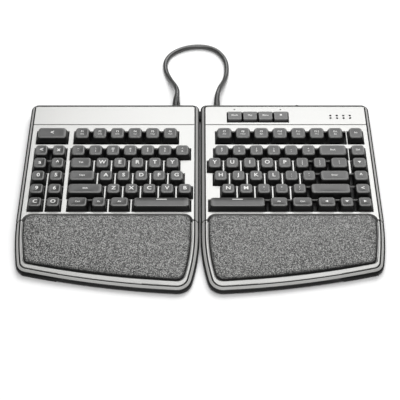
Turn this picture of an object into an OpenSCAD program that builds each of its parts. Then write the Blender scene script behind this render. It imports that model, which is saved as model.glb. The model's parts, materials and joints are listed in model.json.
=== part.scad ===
// Split keyboard: two mirrored halves on a pivot strap, each with its keys and a padded palm rest,
// and a link cable in a loop behind them.
// Millimetres, +X to the right, +Y to the back, +Z up. The origin is on the desk, under the middle.

/* [Key caps] */
// Distance between neighbouring key centres
key_pitch = 19.05; // [18.5:0.05:19.5]
// Gap between caps in the letter rows
letter_gap = 2.6; // [2:0.1:3.2]
// Gap between caps in the number and function rows
slot_gap = 0.7; // [0.4:0.1:1.2]
// Height of the key tops above the case
cap_rise = 6; // [5:0.25:8]
// Thickness of a cap's side walls
cap_wall = 1.3; // [1:0.1:1.6]
// Thickness of a cap's top
cap_top_wall = 1.5; // [1.2:0.1:2]
// Lean of a cap's left and right sides over its height
cap_side_lean = 2.1; // [1.5:0.1:2.5]
// Lean of a cap's back over its height
cap_back_lean = 0.6; // [0.3:0.1:1.5]
// Lean of a cap's front over its height
cap_front_lean = 2.6; // [1.8:0.1:3]
// Rise of the back edges of the rear row's caps and drop of those of the front row's
cap_tilt = 0.9; // [0:0.1:1.2]
// Depth of a resting cap's skirt below the case top
skirt_drop = 1.4; // [1:0.1:2]
// Width of a key's square stem
stem_w = 5.6; // [5:0.1:6]
// Width of a cap that needs a guide post near each end
long_cap_w = 30; // [28:1:34]
// Distance of those posts from the cap's ends
post_inset = 8.5; // [8:0.1:10]
// Travel of a key
key_travel = 3.7; // [3:0.1:4]

/* [Key layout] */
// Distance from a half's inner side to the nearest key cell
key_margin = 5.8; // [5.6:0.1:8]
// Distance from the outermost key cell to a half's outer side
side_margin = 9.4; // [9:0.1:14]
// Width of the wide key at the outer end of the upper letter row
tab_w = 27.5; // [25:0.5:30]
// Width of the wide key at the outer end of the home row
caps_w = 32.4; // [30:0.5:34]
// Width of the wide key at the outer end of the lower letter row
shift_w = 41.5; // [40:0.5:45]
// Widths of the three keys beside the left space bar
left_bottom_w = [25.4, 19.5, 24.2]; // [18:0.1:26]
// Start of those keys from the main keys' outer edge
left_bottom_start = 1.2; // [0:0.1:2]
// Distance from the left space bar's cell to the half's inner side
space_margin = 7.6; // [6.5:0.1:9]
// Width of the bar between the main keys and the shortcut cluster
cluster_gap = 2.4; // [1.5:0.1:4]
// Width of the bar between the main keys and the navigation column
nav_gap = 0.4; // [0.4:0.1:2]
// Width of the navigation column
nav_w = 20.2; // [19.5:0.1:20.5]
// Distance between the left function keys
left_function_pitch = 19.6; // [19.2:0.1:19.8]
// Start of the left function keys from the main keys' outer edge
left_function_start = 2.3; // [1:0.1:4]
// Distance between the right function keys
right_function_pitch = 20.6; // [20:0.1:20.8]
// Start of the right function keys from the half's inner side
right_function_start = 16.2; // [15:0.1:17]
// Start of the right number keys from the half's inner side
right_number_start = 13.8; // [10:0.1:16]
// Start of the right upper letters from the half's inner side
right_upper_start = 5.8; // [5.6:0.1:8]
// Start of the right home letters from the half's inner side
right_home_start = 12.1; // [10:0.1:14]
// Start of the right lower letters from the half's inner side
right_lower_start = 19.9; // [18:0.1:22]
// Start of the right space bar from the half's inner side
right_space_start = 7; // [6.5:0.1:8]
// Width of the right space bar's cell
right_space_w = 64; // [62:0.5:66]
// Width of the key beside the right space bar, where the next one takes the room up to the arrows
right_modifier_w = 23.5; // [20:0.1:26.5]
// Width of the first of the three arrow keys, where the others take one pitch
arrow_w = 23.4; // [22:0.1:24]
// Extra gap in front of the arrow keys
arrow_gap = 0.95; // [0.8:0.05:1.2]
// Extra distance between the function row and the number row
function_gap = 7.6; // [7.2:0.1:10]
// Extra room in front of the keys of the function row
function_room = 3.3; // [2:0.1:3.6]
// Width of the cover's webs between the other rows
web_w = 0.6; // [0.5:0.1:0.8]

/* [Buttons] */
// Distance between the four buttons of the rear panel
button_pitch = 17.5; // [16.5:0.1:18.5]
// Start of the buttons from the right half's inner side
button_start = 29.9; // [29:0.1:34]
// Distance from the panel's seam to the buttons
button_setback = 3.7; // [3.4:0.1:5.5]
// Depth of a button from front to back
button_d = 15.8; // [14:0.1:16]
// Height of a button's top above the panel
button_rise = 2.6; // [2:0.1:3.5]
// Lean of a button's front
button_front_lean = 3; // [2:0.1:4]
// Lean of a button's other sides
button_lean = 0.8; // [0.4:0.1:1.2]
// Travel of a button
button_travel = 2; // [1:0.1:2.5]

/* [Case outline] */
// Distance from the centre line to each half's inner side
half_gap = 0.75; // [0.5:0.05:1.5]
// Depth of the rear cover
rear_depth = 35.8; // [34:0.1:40]
// Strip between the rear cover and the function row
rear_strip = 9.9; // [8:0.1:14]
// Strip between the bottom row and the palm pad
front_strip = 2.4; // [2.2:0.1:5]
// Depth from the back of the palm pad to the front edge
palm_depth = 93; // [85:1:105]
// Distance by which the pad reaches back past the palm rest's seam
pad_overlap = 7.8; // [6:0.1:9]
// Radius of the back corners
back_r = 8; // [7:0.5:9]
// Radius of the inner front corner
inner_front_r = 16; // [15:0.5:20]
// Radius of the outer front corner
outer_front_r = 12.5; // [12:0.5:18]
// Radius of the curve of the inner side along the palm rest
inner_side_r = 230; // [200:5:260]
// Radius of the curve of the outer side along the palm rest
outer_side_r = 290; // [250:5:330]
// Radius of the front edge
front_r = 900; // [800:10:1000]
// Angle of the front edge at its inner end
front_angle = 3.6; // [2:0.1:5]
// Distance from the palm seam to the start of the inner side's curve
inner_curve_start = 16.5; // [12:0.5:22]
// Distance from the palm seam to the start of the outer side's curve
outer_curve_start = 1.5; // [1:0.5:6]

/* [Case shells] */
// Height of the trays' undersides over the desk
foot_rise = 1.5; // [1:0.1:3]
// Height of the black trays' edge
rim_h = 4.8; // [4.6:0.1:6]
// Least height of the trays' outer walls over that edge, at the front
edge_rise = 0.3; // [0.2:0.1:0.6]
// Width of the trays' solid edge
rim_w = 8; // [7.6:0.1:9]
// Thickness of the trays' floors
floor_t = 2; // [1.8:0.1:2.2]
// Height of the grey band
band_h = 3.4; // [3:0.1:3.8]
// Height of the grey band along the front edge
front_band_h = 1.6; // [1.4:0.1:2.2]
// Depth of the band's top edge below the covers
band_drop = 0.4; // [0.3:0.1:0.8]
// Distance from the case side to the foot of the band
band_ledge = 1.4; // [0.8:0.1:1.8]
// Distance from the case side to the band's top edge
band_top_inset = 3.7; // [3.4:0.1:3.8]
// Width of the band's flat top
band_flat = 0.3; // [0.2:0.1:0.4]
// Width of the black lip behind the band
lip_w = 0.7; // [0.6:0.1:0.8]
// Gap between the lip and the covers' walls
cover_gap = 0.45; // [0.3:0.05:0.6]
// Thickness of the covers' walls
cover_wall = 1.6; // [1.2:0.1:1.8]
// Thickness of the covers' tops
cover_t = 2.2; // [1.8:0.1:2.6]
// Gap between the covers, and between the module and its palm rest
seam_gap = 0.8; // [0.4:0.05:1]
// Clearance round each key in its opening
key_clear = 0.4; // [0.4:0.05:0.6]

/* [Key works] */
// Thickness of the contact sheet
contact_t = 0.6; // [0.4:0.1:1]
// Thickness of the dome sheet between its domes
dome_sheet_t = 0.6; // [0.4:0.1:1]
// Height of a dome left when its key is down
dome_crush = 0.2; // [0.2:0.05:0.5]
// Radius of a dome's foot
dome_r = 5; // [4.5:0.1:5.5]
// Radius of a dome's top
dome_top_r = 3.2; // [2.8:0.1:3.6]
// Height of the guide plate over the dome tops
guide_lift = 0.9; // [0.6:0.1:1.4]
// Thickness of the guide plate
guide_t = 2; // [1.6:0.1:2.4]
// Height of a chimney above the guide plate
chimney_h = 3.2; // [2:0.1:3.6]
// Thickness of a chimney's walls
chimney_wall = 1.5; // [1.2:0.1:1.8]
// Clearance of a stem in its chimney
stem_clear = 0.3; // [0.25:0.05:0.4]
// Height of a skirt over the guide plate when its key is down
skirt_clear = 1.4; // [1:0.1:2]

/* [Palm rests] */
// Width of the palm frame's sides beside the pad
frame_w = 1.8; // [1.6:0.1:3]
// Distance from the front edge to the pad
pad_front_inset = 10.9; // [10:0.1:12]
// Radius of the pad's back corners
pad_r = 9; // [8:0.5:10]
// Depth of the pad's seat in its frame
pad_recess = 2.4; // [2:0.1:2.6]
// Rise of the pad's shoulder above its frame
pad_shoulder = 2; // [1.5:0.1:2.5]
// Width of the round on that shoulder
pad_round = 5; // [4:0.1:6]
// Rise of the pad's crown above its frame
pad_crown = 3.4; // [2.8:0.1:4]
// Clearance round the pad
pad_clear = 0.5; // [0.3:0.1:0.8]
// Draw-in of the pad's sides at its seat
pad_draw = 0.8; // [0.5:0.1:1.2]
// Thickness of the plate under the pad
seat_t = 1.6; // [1.2:0.1:2]
// Distance of the palm rest's screws from its seam
palm_post_setback = 20; // [18:1:26]
// Width of the tabs that join the palm rest to its module
tab_plate_w = 20; // [16:1:26]
// Thickness of those tabs
tab_plate_t = 2; // [1.6:0.1:2.2]

/* [Fasteners and feet] */
// Radius of a screw's shank
shank_r = 1.4; // [1.2:0.05:1.6]
// Radius of a screw's head
head_r = 2.6; // [2.4:0.1:2.8]
// Height of a screw's head
head_h = 1; // [0.8:0.1:1.2]
// Clearance of a screw in its hole
screw_clear = 0.1; // [0.05:0.05:0.2]
// Radius of the trays' screw posts
post_r = 4.2; // [4:0.1:4.6]
// Room round the rear screw posts
post_room = 1; // [0.8:0.1:2]
// Radius of the covers' screw posts
cover_post_r = 2.9; // [2.6:0.1:3]
// Clearance of the sheets round the screw posts
sheet_clear = 0.4; // [0.3:0.1:0.6]
// Radius of a rubber foot
foot_r = 6; // [5:0.5:7]
// Distance of the feet from the case sides
foot_edge = 24; // [20:1:26]
// Distance of the palm rest's inner foot from the inner side
palm_foot_edge = 48; // [40:1:60]
// Distance of the palm rest's feet from the front edge
palm_foot_setback = 43; // [40:1:48]
// Depth of a foot's seat in its tray
foot_seat = 0.6; // [0.4:0.1:0.8]

/* [Pivot] */
// Radius of the pivot pin
pin_r = 2.5; // [2:0.1:2.8]
// Running clearance of the pin in its bore
pin_clear = 0.06; // [0.05:0.01:0.12]
// Radius of the round ends of the strap and of the lug
knuckle_r = 6.5; // [6:0.1:6.8]
// Thickness of the strap
strap_t = 2.4; // [2.2:0.1:2.4]
// Length of the strap from the pin to its screw
strap_reach = 15; // [13:0.5:18]
// Clearance round the strap and the lug
pivot_clear = 0.4; // [0.3:0.05:0.5]
// Play above and below the lug
pivot_play = 0.3; // [0.25:0.05:0.4]
// Thickness of the tray's block round the strap's end
block_wall = 3; // [2:0.5:5]
// Height of the strap's underside over that of the trays
strap_lift = 0.1; // [0.1:0.05:0.2]

/* [Cables and lights] */
// Diameter of the link cable
cable_d = 5.6; // [5:0.1:6]
// Radius of a strain relief where it leaves the case
boot_r = 3.4; // [3.3:0.1:3.6]
// Radius of a strain relief's flange inside the case
boot_flange_r = 4.25; // [3.95:0.05:4.4]
// Thickness of that flange
boot_flange_t = 2; // [1.5:0.1:3]
// Clearance of the reliefs and the grommet in the case
boot_clear = 0.15; // [0.1:0.05:0.3]
// Place of the grommet from the right half's inner side
grommet_x = 111; // [108:1:114]
// Radius of the grommet's bore, for a cable of 4 mm
grommet_bore_r = 2; // [1.5:0.1:2.2]
// Length of the grommet outside the case wall
grommet_nose = 6.2; // [5.6:0.1:7]
// Radius of an indicator lens
lens_r = 1.05; // [0.8:0.05:1.2]
// Distance between the lenses along the panel
lens_pitch = 7.4; // [6:0.1:8]
// Distance between the two rows of lenses
lens_row = 4.1; // [4:0.1:6]
// Distance of the last lens from the half's outer side
lens_edge = 22.7; // [22:0.1:26]
// Distance of the front lenses from the panel's seam
lens_setback = 10.6; // [9:0.1:12]
// Height of a lens above the panel
lens_rise = 0.1; // [0.1:0.05:0.4]
// Thickness of the controller board
board_t = 1.6; // [1.2:0.1:2]
// Margin of the board beside the lights
board_margin = 4; // [3:0.1:4.4]
// Depth of the board from front to back
board_d = 18; // [16:0.5:18.5]
// Radius of the posts under the board
board_post_r = 3; // [2:0.1:3.4]
// Radius of a light on the board
light_r = 1.3; // [1:0.05:1.6]

/* [Hidden] */
$fn = 48;
over = 1;
touch = 0.05;
cap_d = key_pitch - letter_gap;
button_w = button_pitch - slot_gap;

// Centre line of the link cable, from the left strain relief round the loop to the right one
cable_route = [
    [-27.5, 152, 11.5], [-27.5, 158, 11.5], [-28.5, 165, 10.5], [-31, 174, 8], [-34.5, 183.5, 5.2],
    [-38.5, 194, 3.4], [-41.5, 204, 3], [-42.5, 214, 3], [-41, 224, 3], [-36, 233.5, 3],
    [-28, 241.5, 3], [-17, 247, 3], [-4.5, 249.5, 3], [8, 248, 3], [18.5, 242, 3],
    [26, 231.5, 3], [30.5, 219, 3], [31.5, 206, 3], [30, 194, 3.4], [27, 183, 5.2],
    [23.5, 173.5, 8], [20.5, 165, 10.5], [19.5, 158, 11.5], [19.5, 152, 11.5]
];
cable_sides = 10;
cable_start = cable_route[0];
cable_end = cable_route[len(cable_route) - 1];

// Heights, from the desk up
floor_z = foot_rise + floor_t;
rim_z = foot_rise + rim_h;
contact_z = floor_z + contact_t;
dome_z = contact_z + dome_sheet_t;
dome_top_z = dome_z + key_travel + dome_crush;
button_dome_z = dome_z + button_travel + dome_crush;
guide_z = dome_top_z + guide_lift;
guide_top_z = guide_z + guide_t;
case_z = guide_top_z + skirt_clear + key_travel + skirt_drop;
ceiling_z = case_z - cover_t;
skirt_z = case_z - skirt_drop;
opening_z = skirt_z - key_travel - key_clear;
cap_z = case_z + cap_rise;
button_z = case_z + button_rise;
exit_z = ceiling_z - boot_flange_r - touch;
wall_z = case_z - band_drop - band_h;
wall_in = band_top_inset + band_flat;
lip_in = wall_in + touch + lip_w;
lip_z = case_z - band_drop;
cover_inset = lip_in + cover_gap;

// Places from side to side
left_block = half_gap + key_margin + shift_w + 5 * key_pitch;
half_width = left_block + cluster_gap + 2 * key_pitch + side_margin;
right_block = half_width - side_margin - nav_w - nav_gap;
nav_x = half_width - side_margin - nav_w / 2;
cluster_x = [-(left_block + cluster_gap + 1.5 * key_pitch), -(left_block + cluster_gap + key_pitch / 2)];

// Places from back to front
key_rows_d = 6 * key_pitch + function_gap;
case_depth = rear_depth + rear_strip + key_rows_d + front_strip + palm_depth;
back_y = case_depth / 2;
front_y = -case_depth / 2;
rear_seam_y = back_y - rear_depth;
function_y = rear_seam_y - rear_strip - key_pitch / 2;
number_y = function_y - key_pitch - function_gap;
upper_y = number_y - key_pitch;
home_y = upper_y - key_pitch;
lower_y = home_y - key_pitch;
bottom_y = lower_y - key_pitch;
pad_back_y = bottom_y - key_pitch / 2 - front_strip;
seam_y = pad_back_y - pad_overlap;
cover_front_y = pad_back_y + pad_clear + cover_wall;
row_room = letter_gap - 2 * key_clear - web_w;
button_y = rear_seam_y + button_setback + button_d / 2;
block_rows = [number_y, upper_y, home_y, lower_y, bottom_y];

// Outline of the right half: straight sides, curved sides and front along the palm rest
inner_centre = [half_gap + inner_side_r, seam_y - inner_curve_start];
outer_centre = [half_width - outer_side_r, seam_y - outer_curve_start];
inner_corner_y = front_y + inner_front_r;
inner_corner_rise = inner_corner_y - inner_centre.y;
inner_corner_reach = sqrt(pow(inner_side_r - inner_front_r, 2) - pow(inner_corner_rise, 2));
inner_corner = [inner_centre.x - inner_corner_reach, inner_corner_y];
front_start = 270 + front_angle;
front_centre = inner_corner - (front_r - inner_front_r) * direction(front_start);
outer_corner = circles_meet(
    outer_centre, outer_side_r - outer_front_r, front_centre, front_r - outer_front_r);
inner_end = bearing(inner_corner - inner_centre);
front_end = bearing(outer_corner - front_centre);
outer_start = bearing(outer_corner - outer_centre);

// Palm rest: its surface and its walls slope down from the pad's back to the front edge, and more
// steeply where the outer side is shorter, so that the front edge is level
palm_front_z = rim_z + edge_rise + front_band_h + band_drop;
palm_fall = case_z - palm_front_z;
wall_fall = wall_z - rim_z - edge_rise;
short_depth = pad_back_y - outer_corner.y + outer_front_r;
short_reach = half_width - outer_corner.x;
roll_share = (palm_depth - short_depth) / (outer_corner.x - inner_corner.x);
rolled_depth = short_depth - short_reach * roll_share;

// Rings of the palm pad, from its seat up: each is [inset, share of the outline, rise over the frame]
pad_inset = cover_inset + frame_w + pad_clear;
pad_scale = (palm_depth - pad_front_inset) / (palm_depth - pad_inset);
pad_middle = [(half_gap + half_width) / 2, (pad_back_y + front_y) / 2];
crown_share = 1 - pad_round / (palm_depth / 2);
pad_levels = concat(
    [[pad_draw, 1, -2 * pad_recess], [0, 1, -pad_recess / 2]],
    [for (a = [0:30:90]) [pad_draw, 1 - (1 - crown_share) * (1 - cos(a)), pad_shoulder * sin(a)]],
    [for (s = [0.75, 0.5, 0.25])
        [pad_draw, s * crown_share, pad_crown - (pad_crown - pad_shoulder) * s * s]]);

// Key field and the works under it
field_in = half_gap + rim_w + sheet_clear;
field_out = half_width - rim_w - sheet_clear;
field_front = max(seam_y + rim_w, cover_front_y) + sheet_clear;
field_back = rear_seam_y - sheet_clear;
button_x = half_gap + button_start;
button_field = [button_x - chimney_wall, button_x + 4 * button_pitch + chimney_wall];
button_field_back = button_y + key_pitch / 2;
chimney_w = stem_w + 2 * stem_clear + 2 * chimney_wall;

// Screw posts, in places of the right half
screw_mid = (half_gap + half_width) / 2;
screw_span = (half_width - half_gap) / 3;
clamp_y = (function_y + number_y - function_room) / 2;
clamp_posts = [for (k = [-1:1]) [screw_mid + k * screw_span, clamp_y]];
rear_post_y = rear_seam_y + rear_depth / 2;
rear_posts = [
    [button_field[0] - post_room - post_r, rear_post_y],
    [half_gap + grommet_x + boot_flange_r + post_room + post_r, rear_post_y],
    [half_width - rim_w - post_room - post_r, rear_post_y]
];
guide_posts = [for (k = [-1:1]) [screw_mid + k * screw_span, (home_y + lower_y) / 2]];
palm_post_y = seam_y - palm_post_setback;
palm_posts = [for (k = [-1:1]) [screw_mid + k * screw_span, palm_post_y]];
tab_plates = [for (k = [-1, 1]) [screw_mid + k * screw_span, seam_y + rim_w / 2]];
screw_hole_r = shank_r + screw_clear;
head_hole_r = head_r + screw_clear;
head_z = foot_rise + head_h + screw_clear;
shank_top_z = ceiling_z - 2 * touch;
plate_depth = pad_recess + seat_t;
foot_top_z = foot_rise + foot_seat;
module_feet = [
    for (x = [half_gap + foot_edge, half_width - foot_edge], y = [function_y, bottom_y]) [x, y]
];
palm_feet = [
    for (x = [half_gap + palm_foot_edge, half_width - foot_edge]) [x, front_y + palm_foot_setback]
];

// Pivot, on the centre line between the back corners
pivot = [0, back_y - back_r];
strap_z = foot_rise + strap_lift;
strap_top_z = strap_z + strap_t;
lug_z = strap_top_z + pivot_play;
lug_top_z = rim_z - pivot_play;
pivot_hole_r = knuckle_r + pivot_clear;
block_reach = strap_reach + knuckle_r + block_wall;

// Lights and board
lens_xs = [for (k = [0:3]) half_width - lens_edge - k * lens_pitch];
lens_ys = [for (k = [0:1]) rear_seam_y + lens_setback + k * lens_row];
board_z = guide_z;
board_from = [lens_xs[3] - board_margin, rear_post_y - board_d / 2];
board_to = [lens_xs[0] + board_margin, rear_post_y + board_d / 2];
board_posts = [for (x = [board_from.x + board_post_r, board_to.x - board_post_r]) [x, rear_post_y]];

// Keys: each is [x, y, cap width, cap depth]
left_x = -left_block;
left_upper_x = left_x + tab_w;
escape_keys = [[(cluster_x[0] + cluster_x[1]) / 2, function_y, 2 * key_pitch - letter_gap, cap_d]];
shortcut_cells = [for (y = block_rows, x = cluster_x) [x, y, cap_d, cap_d]];
left_function_cells =
    row(left_x + left_function_start, same(6, left_function_pitch), function_y, slot_gap);
left_number_cells = row(left_x, same(7, key_pitch), number_y, slot_gap);
tab_cells = row(left_x, [tab_w], upper_y, letter_gap);
left_upper_cells = row(left_upper_x, same(5, key_pitch), upper_y, letter_gap);
caps_cells = row(left_x, [caps_w], home_y, letter_gap);
left_home_cells = row(left_x + caps_w, same(5, key_pitch), home_y, letter_gap);
left_shift_cells = row(left_x, [shift_w], lower_y, letter_gap);
left_lower_cells = row(left_x + shift_w, same(5, key_pitch), lower_y, letter_gap);
left_bottom_x = left_x + left_bottom_start;
left_bottom_cells = row(left_bottom_x, left_bottom_w, bottom_y, letter_gap);
left_space_x = left_bottom_x + total(left_bottom_w, len(left_bottom_w));
left_space_cells = row(left_space_x, [-half_gap - space_margin - left_space_x], bottom_y, letter_gap);

right_number_end = half_gap + right_number_start + 6 * key_pitch;
right_upper_end = half_gap + right_upper_start + 7 * key_pitch;
right_home_end = half_gap + right_home_start + 6 * key_pitch;
right_lower_end = half_gap + right_lower_start + 5 * key_pitch;
right_space_end = half_gap + right_space_start + right_space_w;
right_function_cells =
    row(half_gap + right_function_start, same(7, right_function_pitch), function_y, slot_gap);
right_number_cells = row(half_gap + right_number_start, same(6, key_pitch), number_y, slot_gap);
backspace_cells = last_cell(right_number_end, number_y, slot_gap);
right_upper_cells = concat(
    row(half_gap + right_upper_start, same(7, key_pitch), upper_y, letter_gap),
    last_cell(right_upper_end, upper_y, letter_gap));
right_home_cells = row(half_gap + right_home_start, same(6, key_pitch), home_y, letter_gap);
enter_cells = last_cell(right_home_end, home_y, letter_gap);
right_lower_cells = row(half_gap + right_lower_start, same(5, key_pitch), lower_y, letter_gap);
right_shift_cells = last_cell(right_lower_end, lower_y, letter_gap);
right_space_cells = row(half_gap + right_space_start, [right_space_w], bottom_y, letter_gap);
arrows_x = half_width - side_margin - 2 * key_pitch - arrow_w;
last_modifier_w = arrows_x - arrow_gap - right_space_end - right_modifier_w;
right_bottom_cells = concat(
    row(right_space_end, [right_modifier_w, last_modifier_w], bottom_y, letter_gap),
    row(arrows_x, [arrow_w, key_pitch, key_pitch], bottom_y, letter_gap));
navigation_cells = [
    for (y = [function_y, number_y, upper_y, home_y, lower_y]) [nav_x, y, nav_w - letter_gap, cap_d]
];
button_cells = [
    for (k = [0:3]) [button_x + (k + 0.5) * button_pitch, button_y, button_w, button_d]
];

// Keys that share one slot in the cover, from the first to the last, and keys with an opening each
left_slots = [
    escape_keys,
    left_function_cells,
    left_number_cells,
    part(shortcut_cells, 0, 1),
    part(shortcut_cells, 2, 3),
    part(left_bottom_cells, 0, 1)
];
right_slots = [
    concat(right_function_cells, last_cell(right_number_end, function_y, slot_gap)),
    concat(right_number_cells, backspace_cells),
    part(right_upper_cells, 5, 7),
    [right_home_cells[5], navigation_cells[3]],
    [right_lower_cells[4], navigation_cells[4]],
    concat(right_space_cells, right_bottom_cells)
];
left_single = concat(
    part(shortcut_cells, 4, 9), tab_cells, left_upper_cells, caps_cells, left_home_cells,
    left_shift_cells, left_lower_cells, part(left_bottom_cells, 2, 2), left_space_cells);
right_single = concat(
    part(right_upper_cells, 0, 4), part(right_home_cells, 0, 4), part(right_lower_cells, 0, 3),
    part(navigation_cells, 0, 2));
left_keys = concat(
    escape_keys, shortcut_cells, left_function_cells, left_number_cells, tab_cells, left_upper_cells,
    caps_cells, left_home_cells, left_shift_cells, left_lower_cells, left_bottom_cells, left_space_cells);
right_keys = concat(
    right_function_cells, right_number_cells, backspace_cells, right_upper_cells, right_home_cells,
    enter_cells, right_lower_cells, right_shift_cells, right_space_cells, right_bottom_cells,
    navigation_cells);

function direction(a) = [cos(a), sin(a)];
function bearing(v) = (atan2(v.y, v.x) + 360) % 360;
function total(list, n) = n <= 0 ? 0 : list[n - 1] + total(list, n - 1);
function same(n, value) = [for (k = [1:n]) value];
function part(list, first, last) = [for (k = [first:last]) list[k]];

// Keys side by side from x, with cells of the given widths
function row(x, widths, y, gap) = [
    for (k = [0:len(widths) - 1]) [x + total(widths, k) + widths[k] / 2, y, widths[k] - gap, cap_d]
];

// Extra room in front of the keys of a row
function front_room(y) =
    y > function_y || y <= bottom_y ? 0 : y > number_y ? function_room : row_room;

// Tilt of a cap's top in its row
function tilt(y) = cap_tilt * (2 * (y - bottom_y) / (function_y - bottom_y) - 1);

// A wide key from x to the edge of the right half's main keys
function last_cell(x, y, gap) = row(x, [right_block - x], y, gap);

// Lower one of the two points where two circles cross
function circles_meet(a, ra, b, rb) =
    let (d = b - a, l = norm(d), along = (ra * ra - rb * rb + l * l) / (2 * l))
    let (across = sqrt(ra * ra - along * along), u = d / l)
    let (p = a + along * u + across * [u.y, -u.x], q = a + along * u - across * [u.y, -u.x])
    p.y < q.y ? p : q;

function arc(c, r, from, to, steps) = [
    for (k = [0:steps]) c + r * direction(from + (to - from) * k / steps)
];

// Outline of the right half, drawn in by d, with its back edge at y and back corners of radius r
function outline(d, y, r) = concat(
    arc([half_width - d - r, y - r], r, 0, 90, 6),
    arc([half_gap + d + r, y - r], r, 90, 180, 6),
    arc(inner_centre, inner_side_r - d, 180, inner_end, 7),
    arc(inner_corner, max(inner_front_r - d, touch), inner_end, front_start, 7),
    arc(front_centre, front_r - d, front_start, front_end, 9),
    arc(outer_corner, max(outer_front_r - d, touch), front_end, outer_start, 6),
    arc(outer_centre, outer_side_r - d, outer_start, 360, 5));

function case_outline(d) = outline(d, back_y - d, max(back_r - d, touch));
function pad_outline(d) = [
    for (p = outline(pad_inset + d, pad_back_y - d, max(pad_r - d, touch)))
        [p.x, pad_back_y + pad_scale * (p.y - pad_back_y)]
];

// Share of the palm rest's fall at a place, and the height of its surface there
function fall_share(p) =
    let (d = pad_back_y - p.y, e = half_width - p.x)
    max(d / palm_depth, (d - e * roll_share) / rolled_depth);
function palm_z(p) = case_z - palm_fall * fall_share(p);
function palm_shank_z(p) = palm_z(p - [0, post_r]) - plate_depth - touch;
function pad_ring(level) = [
    for (p = pad_outline(level[0]))
        let (q = pad_middle + level[1] * (p - pad_middle))
        [q.x, q.y, palm_z(q) + level[2]]
];

// Places along the back of a half where a cable comes out
function exits(side) = side < 0 ? [-cable_start.x] : [cable_end.x, half_gap + grommet_x];

// Guide posts of a cap along its width
function stem_places(w) = w > long_cap_w ? [-(w / 2 - post_inset), 0, w / 2 - post_inset] : [0];

// Ring of the cable round one point of its route
function route_tangent(k) =
    let (a = cable_route[max(k - 1, 0)], b = cable_route[min(k + 1, len(cable_route) - 1)])
    (b - a) / norm(b - a);
function cable_ring(k) =
    let (t = route_tangent(k), side = cross(t, [0, 0, 1]), u = side / norm(side), v = cross(u, t))
    [for (s = [0:cable_sides - 1])
        let (a = 360 * s / cable_sides)
        cable_route[k] + cable_d / 2 * (cos(a) * u + sin(a) * v)];

module on_side(side) {
    mirror([side < 0 ? 1 : 0, 0, 0])
        children();
}

module prism(points, z, top_z) {
    translate([0, 0, z])
        linear_extrude(height = top_z - z)
            polygon(points);
}

module box(from, to) {
    translate(from)
        cube(to - from);
}

// Everything between two places from front to back
module slab(y, to_y) {
    box([-over, y, -over], [half_width + over, to_y, cap_z + over]);
}

// Upright cylinder, for a post or a hole
module upright(place, r, z, top_z) {
    translate([place.x, place.y, z])
        cylinder(r = r, h = top_z - z);
}

// Cylinder along Y at the height where the cables leave the case
module along_y(x, r, y, to_y) {
    translate([x, y, exit_z])
        rotate([-90, 0, 0])
            cylinder(r = r, h = to_y - y);
}

// Triangles between rings of n points each, of which the first starts at a point of the list
function ring_faces(first, n, steps, rings) = [
    for (k = [0:steps - 1], s = [0:n - 1])
        let (low = first + k * n, high = first + (k + 1) % rings * n, next = (s + 1) % n)
        each [[low + s, high + s, high + next], [low + s, high + next, low + next]]
];

// Everything under one slope of the palm rest
module under_slope(top_z, slope, roll) {
    turn = atan(roll);
    translate([half_width, pad_back_y, top_z])
        rotate([atan(slope * cos(turn)), turn, 0])
            box([-2 * half_width, 2 * front_y, -2 * case_z], [half_width, over, 0]);
}

// Everything under a surface of the palm rest, from a height at the pad's back
module under_palm(top_z, fall) {
    slope = fall / rolled_depth;
    intersection() {
        under_slope(top_z, fall / palm_depth, 0);
        under_slope(top_z, slope, slope * roll_share);
    }
}

// Solid with four leaning sides, the form of every cap and of its hollow
module cap_form(w, d, z, top_z, side, back, front, tilt) {
    peak_z = top_z + abs(tilt);
    reach = side * (peak_z - z) / (top_z - z);
    intersection() {
        rotate([90, 0, 0])
            linear_extrude(height = d, center = true)
                polygon([[-w / 2, z], [w / 2, z], [w / 2 - reach, peak_z], [-w / 2 + reach, peak_z]]);
        rotate([90, 0, 90])
            linear_extrude(height = w, center = true)
                polygon([
                    [-d / 2, z], [d / 2, z], [d / 2 - back, top_z + tilt], [-d / 2 + front, top_z - tilt]
                ]);
    }
}

module cap(cell, top_z, stem_z, side, back, front, tilt) {
    w = cell[2];
    d = cell[3];
    inner_z = top_z - cap_top_wall;
    share = (inner_z - skirt_z) / (top_z - skirt_z);
    stem_top_z = inner_z + touch + abs(tilt) / 2;
    translate([cell.x, cell.y, 0]) {
        difference() {
            cap_form(w, d, skirt_z, top_z, side, back, front, tilt);
            cap_form(
                w - 2 * cap_wall, d - 2 * cap_wall, skirt_z - touch, inner_z,
                side * share, back * share, front * share, tilt * share);
        }
        for (x = stem_places(w))
            translate([x - stem_w / 2, -stem_w / 2, stem_z])
                cube([stem_w, stem_w, stem_top_z - stem_z]);
    }
}

module caps(cells) {
    color("dimgray")
        for (cell = cells)
            cap(
                cell, cap_z, dome_top_z + touch,
                cap_side_lean, cap_back_lean, cap_front_lean, tilt(cell.y));
}

module button(k) {
    color("gray")
        cap(
            button_cells[k], button_z, button_dome_z + touch,
            button_lean, button_lean, button_front_lean, 0);
}

// Opening in a cover round one cap, or round a whole row of caps
module opening(first, last) {
    box(
        [
            first.x - first[2] / 2 - key_clear,
            first.y - first[3] / 2 - key_clear - front_room(first.y),
            opening_z
        ],
        [last.x + last[2] / 2 + key_clear, last.y + last[3] / 2 + key_clear, case_z + over]);
}

module screw(place, shank_top_z) {
    upright(place, head_r, foot_rise + screw_clear, head_z);
    upright(place, shank_r, head_z - touch, shank_top_z);
}

module screw_hole(place, top_z) {
    upright(place, head_hole_r, -over, head_z);
    upright(place, screw_hole_r, head_z - touch, top_z);
}

// Tray with a solid edge, before its holes
module tray(y, to_y) {
    difference() {
        intersection() {
            prism(case_outline(0), foot_rise, rim_z);
            slab(y, to_y);
        }
        intersection() {
            prism(case_outline(rim_w), floor_z, rim_z + over);
            slab(y + rim_w, to_y - (to_y > back_y ? 0 : rim_w));
        }
    }
}

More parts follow.
